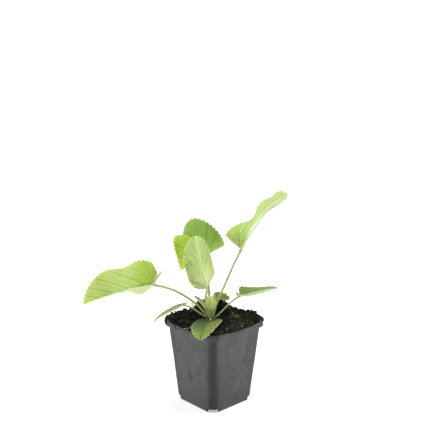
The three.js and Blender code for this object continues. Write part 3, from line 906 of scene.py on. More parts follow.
def spaced_curve(points, steps):
    """Even steps along a smooth curve that passes through all of its points, and its length."""
    ends = [2 * points[0] - points[1], *points, 2 * points[-1] - points[-2]]
    fine = []
    for k in range(1, len(points)):
        a, b, c, d = ends[k - 1 : k + 3]
        ab, bc, cd = [max((q - p).length, 1e-6) ** 0.5 for p, q in ((a, b), (b, c), (c, d))]
        out = ((b - a) / ab - (c - a) / (ab + bc) + (c - b) / bc) * bc
        into = ((c - b) / bc - (d - b) / (bc + cd) + (d - c) / cd) * bc
        for step in range(20):
            t = step / 20
            fine.append(
                b * (2 * t**3 - 3 * t * t + 1) + out * (t**3 - 2 * t * t + t)
                + c * (3 * t * t - 2 * t**3) + into * (t**3 - t * t))
    return even_steps([*fine, points[-1]], steps)


def tube(bm, points, radii, top, around=14, groove=0.0, squash=1.0):
    """A closed tube through the points. top is the direction of its grooved side at the last point."""
    last = len(points) - 1
    made = bmesh.ops.create_grid(bm, x_segments=last, y_segments=around, size=0.5)["verts"]
    ups = [top] * (last + 1)
    alongs = [(points[min(k + 1, last)] - points[max(k - 1, 0)]).normalized() for k in range(last + 1)]
    for k in range(last, -1, -1):
        carried = ups[min(k + 1, last)]
        ups[k] = (carried - alongs[k] * carried.dot(alongs[k])).normalized()
    for vertex in made:
        k = round((vertex.co.x + 0.5) * last)
        angle = (vertex.co.y + 0.5) * 2 * math.pi
        dip = 1 - groove * soft_line(min(angle, 2 * math.pi - angle), GROOVE_SPREAD)
        left = ups[k].cross(alongs[k])
        reach = radii[k] * dip
        vertex.co = points[k] + ups[k] * (reach * math.cos(angle) * squash) + left * (reach * math.sin(angle))
    bmesh.ops.remove_doubles(bm, verts=made, dist=1e-4)
    made = [v for v in made if v.is_valid]
    rims = [e for v in made for e in v.link_edges if e.is_boundary]
    bmesh.ops.holes_fill(bm, edges=list(set(rims)), sides=0)
    return made


print("tubes ready")

# %% [markdown]
# ## Leaves: the stalk
# A stalk is thick and downy. It runs on under the blade as the midrib, and thins out towards the tip.
# Two tubes would show a joint where the blade begins, so one tube does for both. It has its own skin
# and marks, so that the paint below can tell it from the blade.

# %% Stalk
RIB_END = 0.88
RIB_TIP = 0.25
STALK_STEP = 1.6
STALK_GROOVE = 0.24
STALK_FOOT = 0.88  # the share of its radius that a stalk has at its foot
FELT_WIDTH = 1.06  # how much the felt of hairs widens a free stalk
STALK_MARK = 0.9


def mark_tube(bm, made, vein_mark, edge_mark, skin):
    vein, edge, side_of = [bm.verts.layers.float[n] for n in ("vein", "edge", "side_of")]
    for vertex in made:
        vertex[vein] = vein_mark
        vertex[edge] = edge_mark
        vertex[side_of] = 0
        for face in vertex.link_faces:
            face.material_index = skin


def add_stalk(bm, leaf, rib):
    """Adds the stalk and the midrib to a leaf's mesh."""
    reach = leaf["radius"]
    on_rib = []
    for x in (0, 0.22, 0.44, 0.66, RIB_END):
        point, _, up, _ = rib.at(x)
        on_rib.append(point - up * lerp(reach + 0.15, 0.75, x))
    points = [Vector(p) for p in leaf["stalk"]] + on_rib
    rough_length = sum((b - a).length for a, b in zip(points, points[1:]))
    path, length = spaced_curve(points, max(16, round(rough_length / STALK_STEP)))
    free = 1 - RIB_END * rib.length / length
    foot = leaf.get("flare", STALK_FOOT)
    radii = []
    for k in range(len(path)):
        t = k / (len(path) - 1)
        if t < free:
            radii.append(reach * FELT_WIDTH * lerp(foot, 1, smooth_step(0, 0.35, t / free)))
        else:
            radii.append(lerp(reach * FELT_WIDTH, RIB_TIP, ((t - free) / (1 - free)) ** 0.6))
    made = tube(bm, path, radii, rib.up[FRAMES - 4], groove=STALK_GROOVE)
    mark_tube(bm, made, STALK_MARK, 0, STALK_SKIN)


print("a stalk is", STALK_FOOT, "of its radius at its foot")

# %% [markdown]
# ## Leaves: rolled lobes
# Some lobes are rolled up at the base. As part of the blade's grid they would fold through it, so
# each of them is a flat tube of its own, which lies along the edge and shows the underside.

# %% Rolled lobes
FOLD_STEPS = 18


def add_fold(bm, fold):
    """Adds the rolled edge of a lobe, thin at both ends."""
    path, _ = spaced_curve([Vector(p) for p in fold["points"]], FOLD_STEPS)
    radii = [
        max(0.12, fold["radius"] * math.sin(math.pi * (k + 1.5) / (FOLD_STEPS + 2)) ** 0.7)
        for k in range(FOLD_STEPS + 1)]
    made = tube(bm, path, radii, Vector(fold["out"]), around=12, groove=0.2, squash=0.45)
    mark_tube(bm, made, 0, 0.5, fold.get("skin", UNDER_SKIN))


print("rolled lobes are laid in", FOLD_STEPS, "steps")

# %% [markdown]
# ## Leaves: the upper side
# The upper side is a soft yellow-green with darker sunken veins, with a painted shade in the furrows
# beside them and a painted highlight along the margin. It has a fine downy grain, sheen for the felt,
# and a share of Translucent, since sunlight shines through a leaf. Each leaf carries its own tints as a
# colour attribute, so that three materials serve all eleven leaves.

# %% Upper side


def leaf_upper():
    material, tree, surface = new_material("leaf_upper_side")
    tint = attribute(tree, "tint", "Color")
    vein, cushion, edge = [attribute(tree, n) for n in ("vein", "cushion", "edge")]
    mottle = grain(tree, place(tree), 5, 4, 0.6)
    felt = grain(tree, place(tree), 0.35, 2, 0.7)
    color = mixed(tree, spread(tree, mottle, 0.4, 0.7, 0, 0.3), tint, (0.62, 0.78, 0.4, 1), "MULTIPLY")
    # Painted shade in the furrows along the veins, between the cushions.
    color = mixed(tree, spread(tree, cushion, 0.1, 1, 0.34, 0), color, (0.5, 0.68, 0.35, 1), "MULTIPLY")
    rib = attribute(tree, "rib", "Color")
    color = mixed(tree, spread(tree, vein, 0.2, 0.9, 0, 0.75), color, rib)
    # Painted highlight along the margin.
    color = mixed(tree, spread(tree, edge, 0.93, 1, 0, 0.45), color, linear(205, 215, 160))
    color = mixed(tree, spread(tree, felt, 0.5, 0.8, 0, 0.22), color, linear(225, 235, 190))
    normal = relief(tree, felt, 0.12, 0.6)
    set_surface(tree, surface, {
        "Base Color": color, "Roughness": spread(tree, felt, 0.3, 0.7, 0.62, 0.8), "Normal": normal,
        "Specular IOR Level": 0.3, "Sheen Weight": 0.25, "Sheen Roughness": 0.5})
    surface.inputs["Sheen Tint"].default_value = linear(225, 240, 190)
    let_light_through(tree, surface, color, 0.3)
    return material


print("upper side described")

# %% [markdown]
# ## Leaves: the underside and the stalk's skin
# The underside is paler and greyer, because its felt of hairs is denser, and its veins stand out
# light. The hollows between them get a painted shade, and the margin a painted highlight. A stalk has
# the same felt over fine streaks that run along it.

# %% Underside and stalk


def leaf_under():
    material, tree, surface = new_material("leaf_underside")
    tint = attribute(tree, "under_tint", "Color")
    vein, cushion, edge = [attribute(tree, n) for n in ("vein", "cushion", "edge")]
    mottle = grain(tree, place(tree), 4, 4, 0.6)
    felt = grain(tree, place(tree), 0.3, 2, 0.7)
    color = mixed(tree, spread(tree, mottle, 0.35, 0.7, 0, 0.3), tint, (0.65, 0.75, 0.5, 1), "MULTIPLY")
    # Painted shade in the hollows between the raised veins.
    color = mixed(tree, spread(tree, cushion, 0.2, 1, 0, 0.4), color, (0.7, 0.8, 0.5, 1), "MULTIPLY")
    color = mixed(tree, spread(tree, vein, 0.08, 0.7, 0, 0.75), color, attribute(tree, "under_rib", "Color"))
    # Painted highlight along the margin.
    color = mixed(tree, spread(tree, edge, 0.9, 1, 0, 0.7), color, linear(232, 248, 176))
    color = mixed(tree, spread(tree, felt, 0.5, 0.8, 0, 0.3), color, linear(230, 236, 205))
    normal = relief(tree, felt, 0.14, 0.6)
    set_surface(tree, surface, {
        "Base Color": color, "Roughness": 0.8, "Normal": normal,
        "Specular IOR Level": 0.25, "Sheen Weight": 0.4, "Sheen Roughness": 0.5})
    surface.inputs["Sheen Tint"].default_value = linear(230, 240, 205)
    let_light_through(tree, surface, color, 0.3)
    return material


def stalk_skin():
    material, tree, surface = new_material("stalk_skin")
    tint = attribute(tree, "rib", "Color")
    streaks = grain(tree, place(tree, (1, 1, 0.12)), 0.7, 2)
    felt = grain(tree, place(tree), 0.3, 2, 0.7)
    color = mixed(tree, spread(tree, streaks, 0.35, 0.65), tint, linear(178, 192, 124))
    color = mixed(tree, spread(tree, felt, 0.5, 0.8, 0, 0.3), color, linear(220, 226, 192))
    set_surface(tree, surface, {
        "Base Color": color, "Roughness": 0.72, "Normal": relief(tree, felt, 0.12, 0.6),
        "Specular IOR Level": 0.3, "Sheen Weight": 0.4, "Sheen Roughness": 0.5})
    surface.inputs["Sheen Tint"].default_value = linear(230, 240, 205)
    return material


LEAF_MATERIALS = [leaf_upper(), leaf_under(), stalk_skin()]
print([material.name for material in LEAF_MATERIALS])

# %% [markdown]
# ## Leaves: tints
# No two leaves are the same green, and one half of a folded blade is in the light while the other is
# in the shade, so the tints of the two halves hold painted light and shade as well. A material for each
# leaf would repeat the same nodes. Instead every point gets its tints as attributes: one on each half,
# one towards the base and one towards the tip. On some leaves a base tint is a painted shade near the
# crown, and on one underside a painted light. The stalks darken towards the crown, where they stand
# close together: a painted shade.

# %% Tints
UNDER_VEIN = 236, 248, 196
STALK_TINT = 158, 168, 100
# Painted shade: a stalk's tint is multiplied by this low down, near the crown.
STALK_SHADE = Vector((0.16, 0.2, 0.12, 1))
SHADE_BELOW, SHADE_ABOVE = 101, 114


def leaf_color(leaf, key, default=None):
    return Vector(linear(*leaf.get(key, default)))


def paint_tints(bm, leaf, rib):
    """Writes each point's greens, with the painted light and shade that its tints hold."""
    tint, under, rib_color, under_rib = [
        bm.verts.layers.float_color.new(n) for n in ("tint", "under_tint", "rib", "under_rib")]
    vein, edge, side_of = [bm.verts.layers.float[n] for n in ("vein", "edge", "side_of")]
    left, right, end, below, vein_color = [
        leaf_color(leaf, "tint_" + n) for n in ("left", "right", "tip", "under", "vein")]
    base = leaf_color(leaf, "tint_base", (0, 0, 0))
    below_base = leaf_color(leaf, "under_base", leaf["tint_under"])
    stalk_color = leaf_color(leaf, "tint_stalk", STALK_TINT)
    shaded_stalk = stalk_color * STALK_SHADE
    below_vein = leaf_color(leaf, "under_vein", UNDER_VEIN)
    for vertex in bm.verts:
        share = vertex[side_of] * 0.5 + 0.5
        color = right.lerp(left, share)
        nearest = min(range(FRAMES + 1), key=lambda k: (rib.points[k] - vertex.co).length_squared)
        along = nearest / FRAMES
        # A base tint is the leaf's own green, and on some leaves a painted shade near the crown.
        if "tint_base" in leaf:
            at_base = 1 - smooth_step(0.1, 0.34, along)
            color = color.lerp(base, at_base * lerp(1, leaf.get("base_left", 0), share))
        vertex[tint] = color.lerp(end, smooth_step(leaf.get("tip_from", 0.6), 1, along))
        # An underside's base tint is a painted shade on some leaves, and a painted light on one.
        vertex[under] = below.lerp(below_base, 1 - smooth_step(0, 0.5, along))
        vertex[under_rib] = below_vein
        vertex[rib_color] = vein_color
        # Painted shade on the stalks near the crown.
        if vertex[edge] == 0 and abs(vertex[vein] - STALK_MARK) < 0.01:
            lit = smooth_step(SHADE_BELOW, SHADE_ABOVE, vertex.co.z)
            vertex[rib_color] = shaded_stalk.lerp(stalk_color, lit)


print("stalks darken between", SHADE_ABOVE, "and", SHADE_BELOW, "mm")

# %% [markdown]
# ## Leaves: the table
# Every leaf has its own row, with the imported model's numbers for its shape, and its tints as the
# photograph shows them. The spine is the midrib's cubic curve, and the stalk is a list of places
# from the crown to the blade. left and right hold five rise angles, the curl and the lobe's curl. A
# pull gives its share of the way round the margin, its reach, and how far it moves the margin. Some
# rows also scale the teeth or the relief, or give the rolled edges of their lobes as folds.

# %% Leaf rows
LEAVES = [
    {
        "name": "large_left_leaf", "node": "leaf_left_large", "heading": 141,
        "spine": [(-58, 42.5, 145.5), (-74.5, 64.5, 141), (-99, 76, 133), (-122, 93, 123)],
        "width": 0.39, "widest": 0.33, "lobe": 0.11, "blunt": 0.52,
        "left": ([13, -2, 13, 14, 15], 2, 34), "right": ([59, 63, 38, 63, 52], -1, 14),
        "stalk": [(-7.6, 0.6, 102.2), (-9.5, 2.5, 105), (-12, 4.5, 109.5), (-21.5, 12, 122.5),
                  (-40.5, 26.5, 138)],
        "radius": 1.4, "steps": 190, "rows": 34,
        "tint_left": (208, 217, 168), "tint_right": (204, 222, 136), "tint_tip": (216, 230, 140),
        "tint_base": (196, 221, 92), "tint_under": (218, 228, 182), "tint_vein": (134, 164, 66),
        "tint_stalk": (150, 160, 108),
        "folds": [
            {"points": [(-58, 42.5, 146), (-56, 40.6, 150.9), (-52.7, 38.9, 155.8), (-49.6, 37.4, 159.5),
                        (-47.4, 36.7, 160.8)], "radius": 1.9, "out": (-0.6, -0.6, 0.5)}],
    },
    {
        "name": "back_leaf", "node": "leaf_back", "heading": 77,
        "spine": [(-0.5, 14.5, 177.5), (9, 38, 178), (13.5, 65, 206), (18, 75.5, 179)],
        "width": 0.41, "widest": 0.27, "lobe": 0.15, "blunt": 0.46,
        "left": ([-15, -29, -19, 2, -1], -7, 29), "right": ([26, 26, 47, 66, 83], -9, 35),
        "stalk": [(-5.5, 1, 102.2), (-4, 3, 107), (-3, 5, 119), (-2.5, 6.5, 133.5), (-1.5, 11, 163)],
        "radius": 1.35, "steps": 190, "rows": 32,
        "pull_left": [(0.31, 0.12, -0.05, 0.11), (0.75, 0.06, 0, -0.045)],
        "tint_left": (176, 201, 54), "tint_right": (142, 178, 68), "tint_tip": (138, 176, 62),
        "tint_under": (196, 212, 150), "tint_vein": (122, 162, 60),
        "folds": [
            {"points": [(3.6, 10.7, 179.7), (8.4, 7.6, 182.2), (13.4, 4.2, 184.8), (18.4, 0.9, 187.6)],
             "radius": 1.1, "out": (-0.6, -0.6, 0.2)},
            {"points": [(-6.3, 2.2, 133.9), (-4.6, 0.6, 133.1), (-2.7, -1.1, 131.8)],
             "radius": 0.8, "out": (0, 0, 1), "skin": UPPER_SKIN}],
    },
    {
        "name": "upright_front_leaf", "node": "leaf_front_upright", "heading": 230,
        "spine": [(-10.5, 2, 140.5), (-18, 2, 161), (-22, 5.5, 185.5), (-23, 6.5, 203.5)],
        "width": 0.33, "widest": 0.32, "lobe": 0.05, "blunt": 0.55,
        "left": ([75, 52, 51, 47, 43], 2, 31), "right": ([14, 21, 25, 16, 14], 0, 18),
        "stalk": [(-8, -0.2, 102.2), (-9, 1.5, 109), (-9.7, 3, 117), (-10.2, 3.5, 127)],
        "radius": 1.45, "steps": 150, "rows": 28,
        "tint_left": (185, 212, 110), "tint_right": (185, 212, 110), "tint_tip": (185, 214, 105),
        # Painted light: the pale under_base lifts the underside near its base.
        "tint_under": (212, 230, 146), "under_base": (248, 254, 190), "tint_vein": (160, 190, 90),
        "tint_stalk": (196, 210, 140),
    },
    {
        "name": "tall_right_leaf", "node": "leaf_right_tall", "heading": -33,
        "spine": [(30.5, -14, 184.5), (37.5, -23.5, 211.5), (50, -30.5, 235.5), (71.5, -49, 249)],
        "width": 0.34, "widest": 0.31, "lobe": 0.05, "blunt": 0.53,
        "left": ([47, 42, -2, 6, 16], -9, 46), "right": ([23, 17, 12, 8, -8], -4, 12),
        "stalk": [(-4.6, -2, 102.2), (-3, -3, 109.5), (-0.5, -3.5, 118), (7, -6, 134), (24.5, -11.5, 170)],
        "radius": 1.35, "steps": 180, "rows": 28,
        "pull_left": [(0.23, 0.05, -0.02, 0.04), (0.62, 0.06, 0.01, 0.06), (0.8, 0.04, -0.03, -0.055),
                      (0.885, 0.05, 0.015, 0.03)],
        "pull_right": [(0.66, 0.1, -0.02, -0.07)],
        "tint_left": (186, 210, 110), "tint_right": (228, 236, 214), "tint_tip": (200, 210, 150),
        "tip_from": 0.3, "tint_under": (200, 214, 168), "tint_vein": (216, 230, 164), "teeth": 1.5,
        "tint_base": (176, 200, 118), "tint_stalk": (160, 168, 108),
        "folds": [
            {"points": [(29.8, -13.4, 184.8), (26.7, -7.7, 189.4), (24.4, -1.5, 194.3), (23, 4, 198.3),
                        (22, 7.6, 200.5)], "radius": 1.2, "out": (-0.6, -0.6, -0.3)}],
    },
    {
        "name": "low_right_leaf", "node": "leaf_right_low", "heading": -39,
        "spine": [(20, -23, 130), (31.5, -33.5, 134), (45.5, -40, 136), (59, -48, 137)],
        "width": 0.31, "widest": 0.3, "lobe": 0.1, "blunt": 0.48,
        "left": ([18, 22, 13, 5, 11], -9, 32), "right": ([24, 11, 8, 8, 10], -5, 26),
        "stalk": [(-5.2, -2.8, 102.2), (-2.5, -5.8, 104.6), (3, -10, 111), (13.5, -18, 124)],
        "radius": 1.08, "steps": 120, "rows": 22,
        "pull_left": [(0.1, 0.09, 0.1, 0), (0.29, 0.09, -0.02, 0.09)],
        "tint_left": (142, 168, 82), "tint_right": (226, 230, 196), "tint_tip": (170, 178, 136),
        "tip_from": 0.75, "tint_under": (212, 219, 186), "tint_vein": (136, 162, 84),
        "tint_stalk": (140, 142, 108),
        "folds": [
            {"points": [(20.5, -23.4, 129.6), (18.4, -21.5, 131.4), (16.9, -20.1, 133.3),
                        (16, -19.2, 134.8)], "radius": 1.3, "out": (-0.6, -0.6, -0.3)}],
    },
    {
        "name": "small_left_leaf", "node": "leaf_left_small", "heading": 158,
        "spine": [(-36.5, 12, 123), (-48, 16, 121.5), (-59.5, 21, 117), (-71.5, 26, 106.5)],
        "width": 0.3, "widest": 0.29, "lobe": 0.12, "blunt": 0.46,
        "left": ([33, 25, 18, 21, 35], -9, 28), "right": ([-5, -7, -10, -10, -13], -8, 11),
        "stalk": [(-8.6, -1.2, 102.4), (-12.5, 0.6, 105.2), (-17.5, 4.5, 109.3), (-26.5, 9.5, 117)],
        "radius": 1.05, "steps": 110, "rows": 20,
        "tint_left": (166, 182, 118), "tint_right": (156, 176, 106), "tint_tip": (160, 168, 140),
        "tint_under": (184, 192, 152), "tint_vein": (132, 154, 86), "tint_stalk": (140, 150, 92),
    },
    {
        "name": "front_rim_leaf", "node": "leaf_front_rim", "heading": 212,
        "spine": [(-14, -8, 102.5), (-27.5, -18, 103.5), (-41.5, -25.5, 105.5), (-54, -35, 97)],
        "width": 0.33, "widest": 0.31, "lobe": 0.11, "blunt": 0.53,
        "left": ([12, 16, 19, 18, 13], -7, 11), "right": ([10, 5, 6, 10, 20], -8, 13),
        "stalk": [(-7.6, -2.6, 102.6), (-11, -5.4, 103.6)],
        "radius": 1.05, "steps": 130, "rows": 24, "flare": 1.1,
        # Painted shade: the dark right half, tint_base and under_base, near the crown.
        "tint_left": (128, 142, 72), "tint_right": (74, 102, 46), "tint_tip": (148, 172, 62),
        "tint_base": (53, 71, 32), "base_left": 0.35, "tip_from": 0.45, "relief": 1.5,
        "tint_under": (190, 202, 156), "under_base": (44, 56, 28), "under_vein": (96, 116, 62),
        "tint_vein": (112, 136, 76), "tint_stalk": (92, 104, 58),
    },
    {
        "name": "small_back_leaf", "node": "leaf_back_small", "heading": -12,
        "spine": [(14, 14.5, 122), (19.5, 10.5, 117.5), (28, 11.5, 119.5), (34, 8.5, 115.5)],
        "width": 0.36, "widest": 0.3, "lobe": 0.12, "blunt": 0.5,
        "left": ([46, 48, 50, 55, 60], -1, 19), "right": ([2, -2, -8, -12, -11], -3, 19),
        "stalk": [(-4.2, 0.4, 102.2), (-1, 2.6, 109), (4.5, 7, 117.5), (9.5, 11.5, 122.2)],
        "radius": 0.85, "steps": 90, "rows": 18, "veins": [0.03, 0.2, 0.45, 0.72],
        "pull_right": [(0.16, 0.12, 0.14, -0.12)],
        "tint_left": (134, 147, 42), "tint_right": (130, 144, 56), "tint_tip": (138, 152, 52),
        "tint_under": (150, 160, 90), "tint_vein": (105, 120, 50),
    },
    {
        "name": "young_center_leaf", "node": "young_leaf_center", "heading": 230,
        "spine": [(-8.5, -3, 114), (-9, -3.7, 120), (-9.2, -3, 126), (-9, -1.5, 130.5)],
        "width": 0.4, "widest": 0.42, "lobe": 0.02, "blunt": 0.6,
        "left": ([12, 12, 14, 16, 20], -10, 5), "right": ([16, 14, 14, 18, 24], -10, 5),
        "stalk": [(-7, -2, 103), (-8, -2.6, 109)],
        "radius": 0.55, "steps": 70, "rows": 14, "veins": [0.03, 0.2, 0.45, 0.72], "teeth": 0.5,
        "relief": 0.6,
        "tint_left": (222, 238, 124), "tint_right": (216, 236, 112), "tint_tip": (220, 236, 140),
        "tint_under": (232, 246, 156), "tint_vein": (186, 212, 96), "under_vein": (220, 236, 150),
        "tint_stalk": (170, 192, 96),
    },
    {
        "name": "young_left_leaf", "node": "young_leaf_left", "heading": 137,
        "spine": [(-13.5, 1, 116), (-16.5, 4, 121.5), (-20, 6.5, 127), (-23.5, 10, 131)],
        "width": 0.18, "widest": 0.45, "lobe": 0, "blunt": 0.5,
        "left": ([60, 60, 62, 64, 60], 0, 0), "right": ([58, 60, 62, 64, 60], 0, 0),
        "stalk": [(-8.8, -1.6, 103), (-11.8, -0.6, 109)],
        "radius": 0.7, "steps": 60, "rows": 10, "veins": [0.05, 0.3, 0.6], "teeth": 0.4, "relief": 0.5,
        "tint_left": (200, 212, 168), "tint_right": (200, 212, 168), "tint_tip": (104, 112, 92),
        "tip_from": 0.6, "tint_under": (204, 214, 172), "tint_vein": (178, 196, 130),
    },
    {
        "name": "young_curled_leaf", "node": "young_leaf_curled", "heading": 137,
        "spine": [(3.5, 0, 118), (4, -0.5, 122), (2.5, 0.5, 125.5), (0, 2, 128.5)],
        "width": 0.2, "widest": 0.4, "lobe": 0, "blunt": 0.6,
        "left": ([50, 50, 50, 50, 50], 0, 0), "right": ([50, 50, 50, 50, 50], 0, 0),
        "stalk": [(-5, -0.8, 103), (-2.5, -0.4, 108.5), (1, 0, 113.5)],
        "radius": 0.75, "steps": 60, "rows": 10, "veins": [0.05, 0.3, 0.6], "teeth": 0.4, "relief": 0.5,
        "tint_left": (150, 165, 120), "tint_right": (150, 165, 120), "tint_tip": (140, 152, 115),
        "tint_under": (165, 182, 130), "tint_vein": (140, 155, 105),
    },
]
print(len(LEAVES), "leaves in the table")

# %% [markdown]
# ## Leaves: put together
# Each leaf is one piece, because that is how it grew: the grid, its relief and thickness, the tube
# under it, and any rolled lobe. The tints come last, when all of its points are there.

# %% Build the leaves


def make_leaf(leaf):
    rib = Midrib(leaf)
    bm = blade_grid(leaf, rib)
    bmesh.ops.remove_doubles(bm, verts=bm.verts, dist=1e-3)
    press_relief(bm)
    give_thickness(bm)
    add_stalk(bm, leaf, rib)
    for fold in leaf.get("folds", []):
        add_fold(bm, fold)
    paint_tints(bm, leaf, rib)
    finish_piece(leaf["name"], bm, LEAF_MATERIALS, leaf["node"])


for row in LEAVES:
    make_leaf(row)

# %% [markdown]
# ## The peat's ground
# Peat is heaped a little over the lip, with a bank behind the crown, and on the two front sides it
# spills over the edge. The ground could be sculpted by hand. A sum of a few smooth hills follows the
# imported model's own heights, and any other piece can ask it how high the ground is at a place.

# %% Peat heights
HEAP_HALF = 45.5
HEAP_LEVEL = 102
RIM_LEVEL = 100.45
LIP_GAP = 0.3  # between the lip and the heap's underside
SPILL, SPILL_REACH = 2.4, 24
DIAGONAL_SHARE = 0.585
BANK_X, BANK_Y, BANK_TURN = 10.5, 15, -43
# Centre x and y, rise, half length, half width, turn in degrees, and how steep the sides are.
HILLS = [
    (BANK_X, BANK_Y, 14.5, 21.6, 9.5, BANK_TURN, 6),
    (-14, 26, 3, 10, 8, -43, 2),
    (39, -27, 3, 13, 7, 90, 2),
    (-31, 38, 2, 8, 6, 0, 2),
    (-27, -17, -2.4, 27, 18, 32, 4),
    (28, -30, 1, 9, 7, 0, 2),
    (42, -24, 1.8, 14, 6, 90, 2),
]


def heap_height(x, y, half):
    """The height of the heap's ground at a place, where half is the half width of its ring."""
    clods = math.sin(0.55 * x + 1.3) * math.cos(0.61 * y + 0.4) + 0.6 * math.sin(0.9 * x - 0.8 * y)
    rise = 0
    for center_x, center_y, top, along, across, turn, steep in HILLS:
        spot = Matrix.Rotation(-math.radians(turn), 2) @ Vector((x - center_x, y - center_y))
        rise += top * math.exp(-abs(spot.x / along) ** steep - abs(spot.y / across) ** steep)
    inwards = clamp((HEAP_HALF - half) / 5)
    return lerp(RIM_LEVEL, HEAP_LEVEL + rise, inwards) + 0.7 * clods * inwards


def spill_at(x, y):
    """How far the peat hangs down the lip, which it does in the middle of the two front sides."""
    if min(x, y) > -LIP_HALF:
        return 0
    sideways = y if abs(x) > abs(y) else x
    return SPILL * math.exp(-((sideways / SPILL_REACH) ** 4))


def square_half(x, y):
    """The half width of the ring that passes through a place, a little more at the corners."""
    return max(abs(x), abs(y), (abs(x) + abs(y)) * DIAGONAL_SHARE)


def ground(x, y):
    return heap_height(x, y, min(square_half(x, y), HEAP_HALF))


print("the ground is", round(ground(0, -30), 1), "mm high in front and", end=" ")
print(round(ground(BANK_X, BANK_Y), 1), "mm on the bank")

# %% [markdown]
# ## The peat's rings
# The heap is one closed body with the earth inside the pot, so it is run through rings like the
# pot's: up inside the walls, out over the lip, and inwards in rounded squares that shrink to the
# middle. Noise at three sizes breaks the skin up into clods and grains, and is weaker near the lip.

# %% Peat rings
PEAT_INSET = 1.5
HEAP_CORNER = 0.27
HEAP_RINGS = 56
SPILL_DEPTH = 0.8
PEAT_SEGMENTS = 320


def crumble(point, amount=1):
    """How far clods and grains stand up from the smooth ground."""
    clods = noise.noise(point / 5.2) * 0.9 + noise.noise(point / 2.1 + Vector((9, 0, 0))) * 0.65
    return amount * (clods + 0.3 * noise.noise(point / 0.9))


def peat_point(ring, share):
    """A ring's point. Its kind says whether it is inside the pot, at the lip, or on the heap."""
    kind, half, radius, z, cut = ring
    flat = rounded_square(half, radius, share, cut)
    if kind == "inside":
        return Vector((*flat, z))
    drop = spill_at(*flat)
    if kind == "lip":
        return Vector((*flat, POT_HEIGHT + LIP_GAP - drop * z))
    if kind == "skin":
        out = flat * (1 + SPILL_DEPTH * drop / SPILL / half)
        point = Vector((*out, RIM_LEVEL - 0.8 * drop))
        return point + Vector((*out.normalized(), 0)) * abs(crumble(point, 0.35))
    point = Vector((*flat, heap_height(*flat, half)))
    return point + Vector((0, 0, crumble(point, clamp((HEAP_HALF - half) / 3, 0.15, 1))))


def peat_rings():
    def in_pot(ring):
        return ("inside", *ring)

    def heap(kind, half, z=0):
        return kind, half, HEAP_CORNER * half, z, None

    ceiling = NOTCH_HEIGHT + PEAT_INSET
    floor_up = [
        in_pot((MIDDLE_HALF, MIDDLE_RADIUS, PEAT_INSET, None)),
        in_pot(wall_ring(PEAT_INSET, PEAT_INSET, PEAT_INSET)),
        in_pot(wall_ring(ceiling, PEAT_INSET, PEAT_INSET)), in_pot(wall_ring(ceiling, PEAT_INSET)),
        in_pot(wall_ring(SHOULDER_Z + PEAT_INSET, PEAT_INSET)),
        in_pot(lip_ring(PEAT_INSET, SHOULDER_Z + PEAT_INSET)),
        in_pot(lip_ring(PEAT_INSET, POT_HEIGHT + LIP_GAP)),
        heap("lip", HEAP_HALF, 0), heap("lip", HEAP_HALF, 1), heap("skin", HEAP_HALF)]
    over = [heap("top", HEAP_HALF * (1 - k / HEAP_RINGS)) for k in range(HEAP_RINGS)]
    return floor_up + over + [heap("top", 0.2)]


print(len(peat_rings()), "rings of", PEAT_SEGMENTS, "points")

# %% [markdown]
# ## Loose crumbs
# Loose crumbs make the heap's edge ragged, and they catch the light as real peat does. Particles
# could scatter them, but only real meshes are exported. Each one is a small ball with few faces that
# noise pushes out of shape, half sunk in the ground. They are modelled in handfuls, since each step
# of bmesh on one big mesh has to pass over all of it.

# %% One crumb
CRUMB_MARKS = "pale", "olive"


def crumb_mesh():
    bm = bmesh.new()
    for name in CRUMB_MARKS:
        bm.verts.layers.float.new(name)
    return bm


def add_crumb(bm, spot, radius, subdivisions, pale, olive):
    turn = Matrix.Rotation(dice.uniform(0, 6), 4, (dice.random(), dice.random(), 1))
    stretch = Matrix.Diagonal((1, dice.uniform(0.65, 1), dice.uniform(0.5, 0.85), 1))
    where = Matrix.Translation(spot) @ turn @ stretch
    ball = bmesh.ops.create_icosphere(bm, subdivisions=subdivisions, radius=radius, matrix=where)
    for vertex in ball["verts"]:
        away = vertex.co - spot
        vertex.co = spot + away * (1 + 0.55 * noise.noise(vertex.co / radius * 0.8))
        vertex[bm.verts.layers.float["pale"]] = pale
        vertex[bm.verts.layers.float["olive"]] = olive


def pour(whole, handful):
    """Adds a handful's mesh to the whole and empties the handful."""
    mesh = bpy.data.meshes.new("handful")
    handful.to_mesh(mesh)
    whole.from_mesh(mesh)
    bpy.data.meshes.remove(mesh)
    handful.clear()
    for name in CRUMB_MARKS:
        handful.verts.layers.float.new(name)


print("a small crumb has 20 faces and a large one 80")

# %% [markdown]
# ## Where the crumbs lie
# Fine crumbs lie everywhere and along the rims. Coarser ones lie on the bank, towards the rims and at
# the back, where they make the skyline, and a last lot clings to the lip at the left. Each function
# draws by chance a crumb's place and radius, and says how likely it is to be pale.

# %% Crumbs on the heap
FINE_TRIES, RIM_TRIES, BANK_TRIES, CLOD_TRIES, SKYLINE_TRIES = 1050, 520, 360, 170, 90
ALL_CRUMBS = 2300
# Two ends of x and two ends of y for each strip where clods lie.
CLOD_FIELDS = [(28, 43, -43, 2), (-43, -10, 24, 43), (-44, -38, -6, 42), (2, 42, -44, -39)]


def fine_crumbs():
    for _ in range(FINE_TRIES):
        x, y = dice.uniform(-44, 44), dice.uniform(-44, 44)
        if square_half(x, y) < 44.5:
            under_leaf = x < -8 and -40 < y < 4
            yield x, y, ground(x, y), dice.uniform(0.45, 0.75 if under_leaf else 1.15), 0.04


def rim_crumbs():
    for _ in range(RIM_TRIES):
        side, along = dice.choice(((0, -1), (1, -1), (0, 1), (1, 1))), dice.uniform(-38, 38)
        away = (HEAP_HALF - dice.uniform(-0.3, 4)) * side[1]
        x, y = (away, along) if side[0] == 0 else (along, away)
        yield x, y, ground(x, y) - spill_at(x, y) * dice.random(), dice.uniform(0.45, 1.1), 0.05


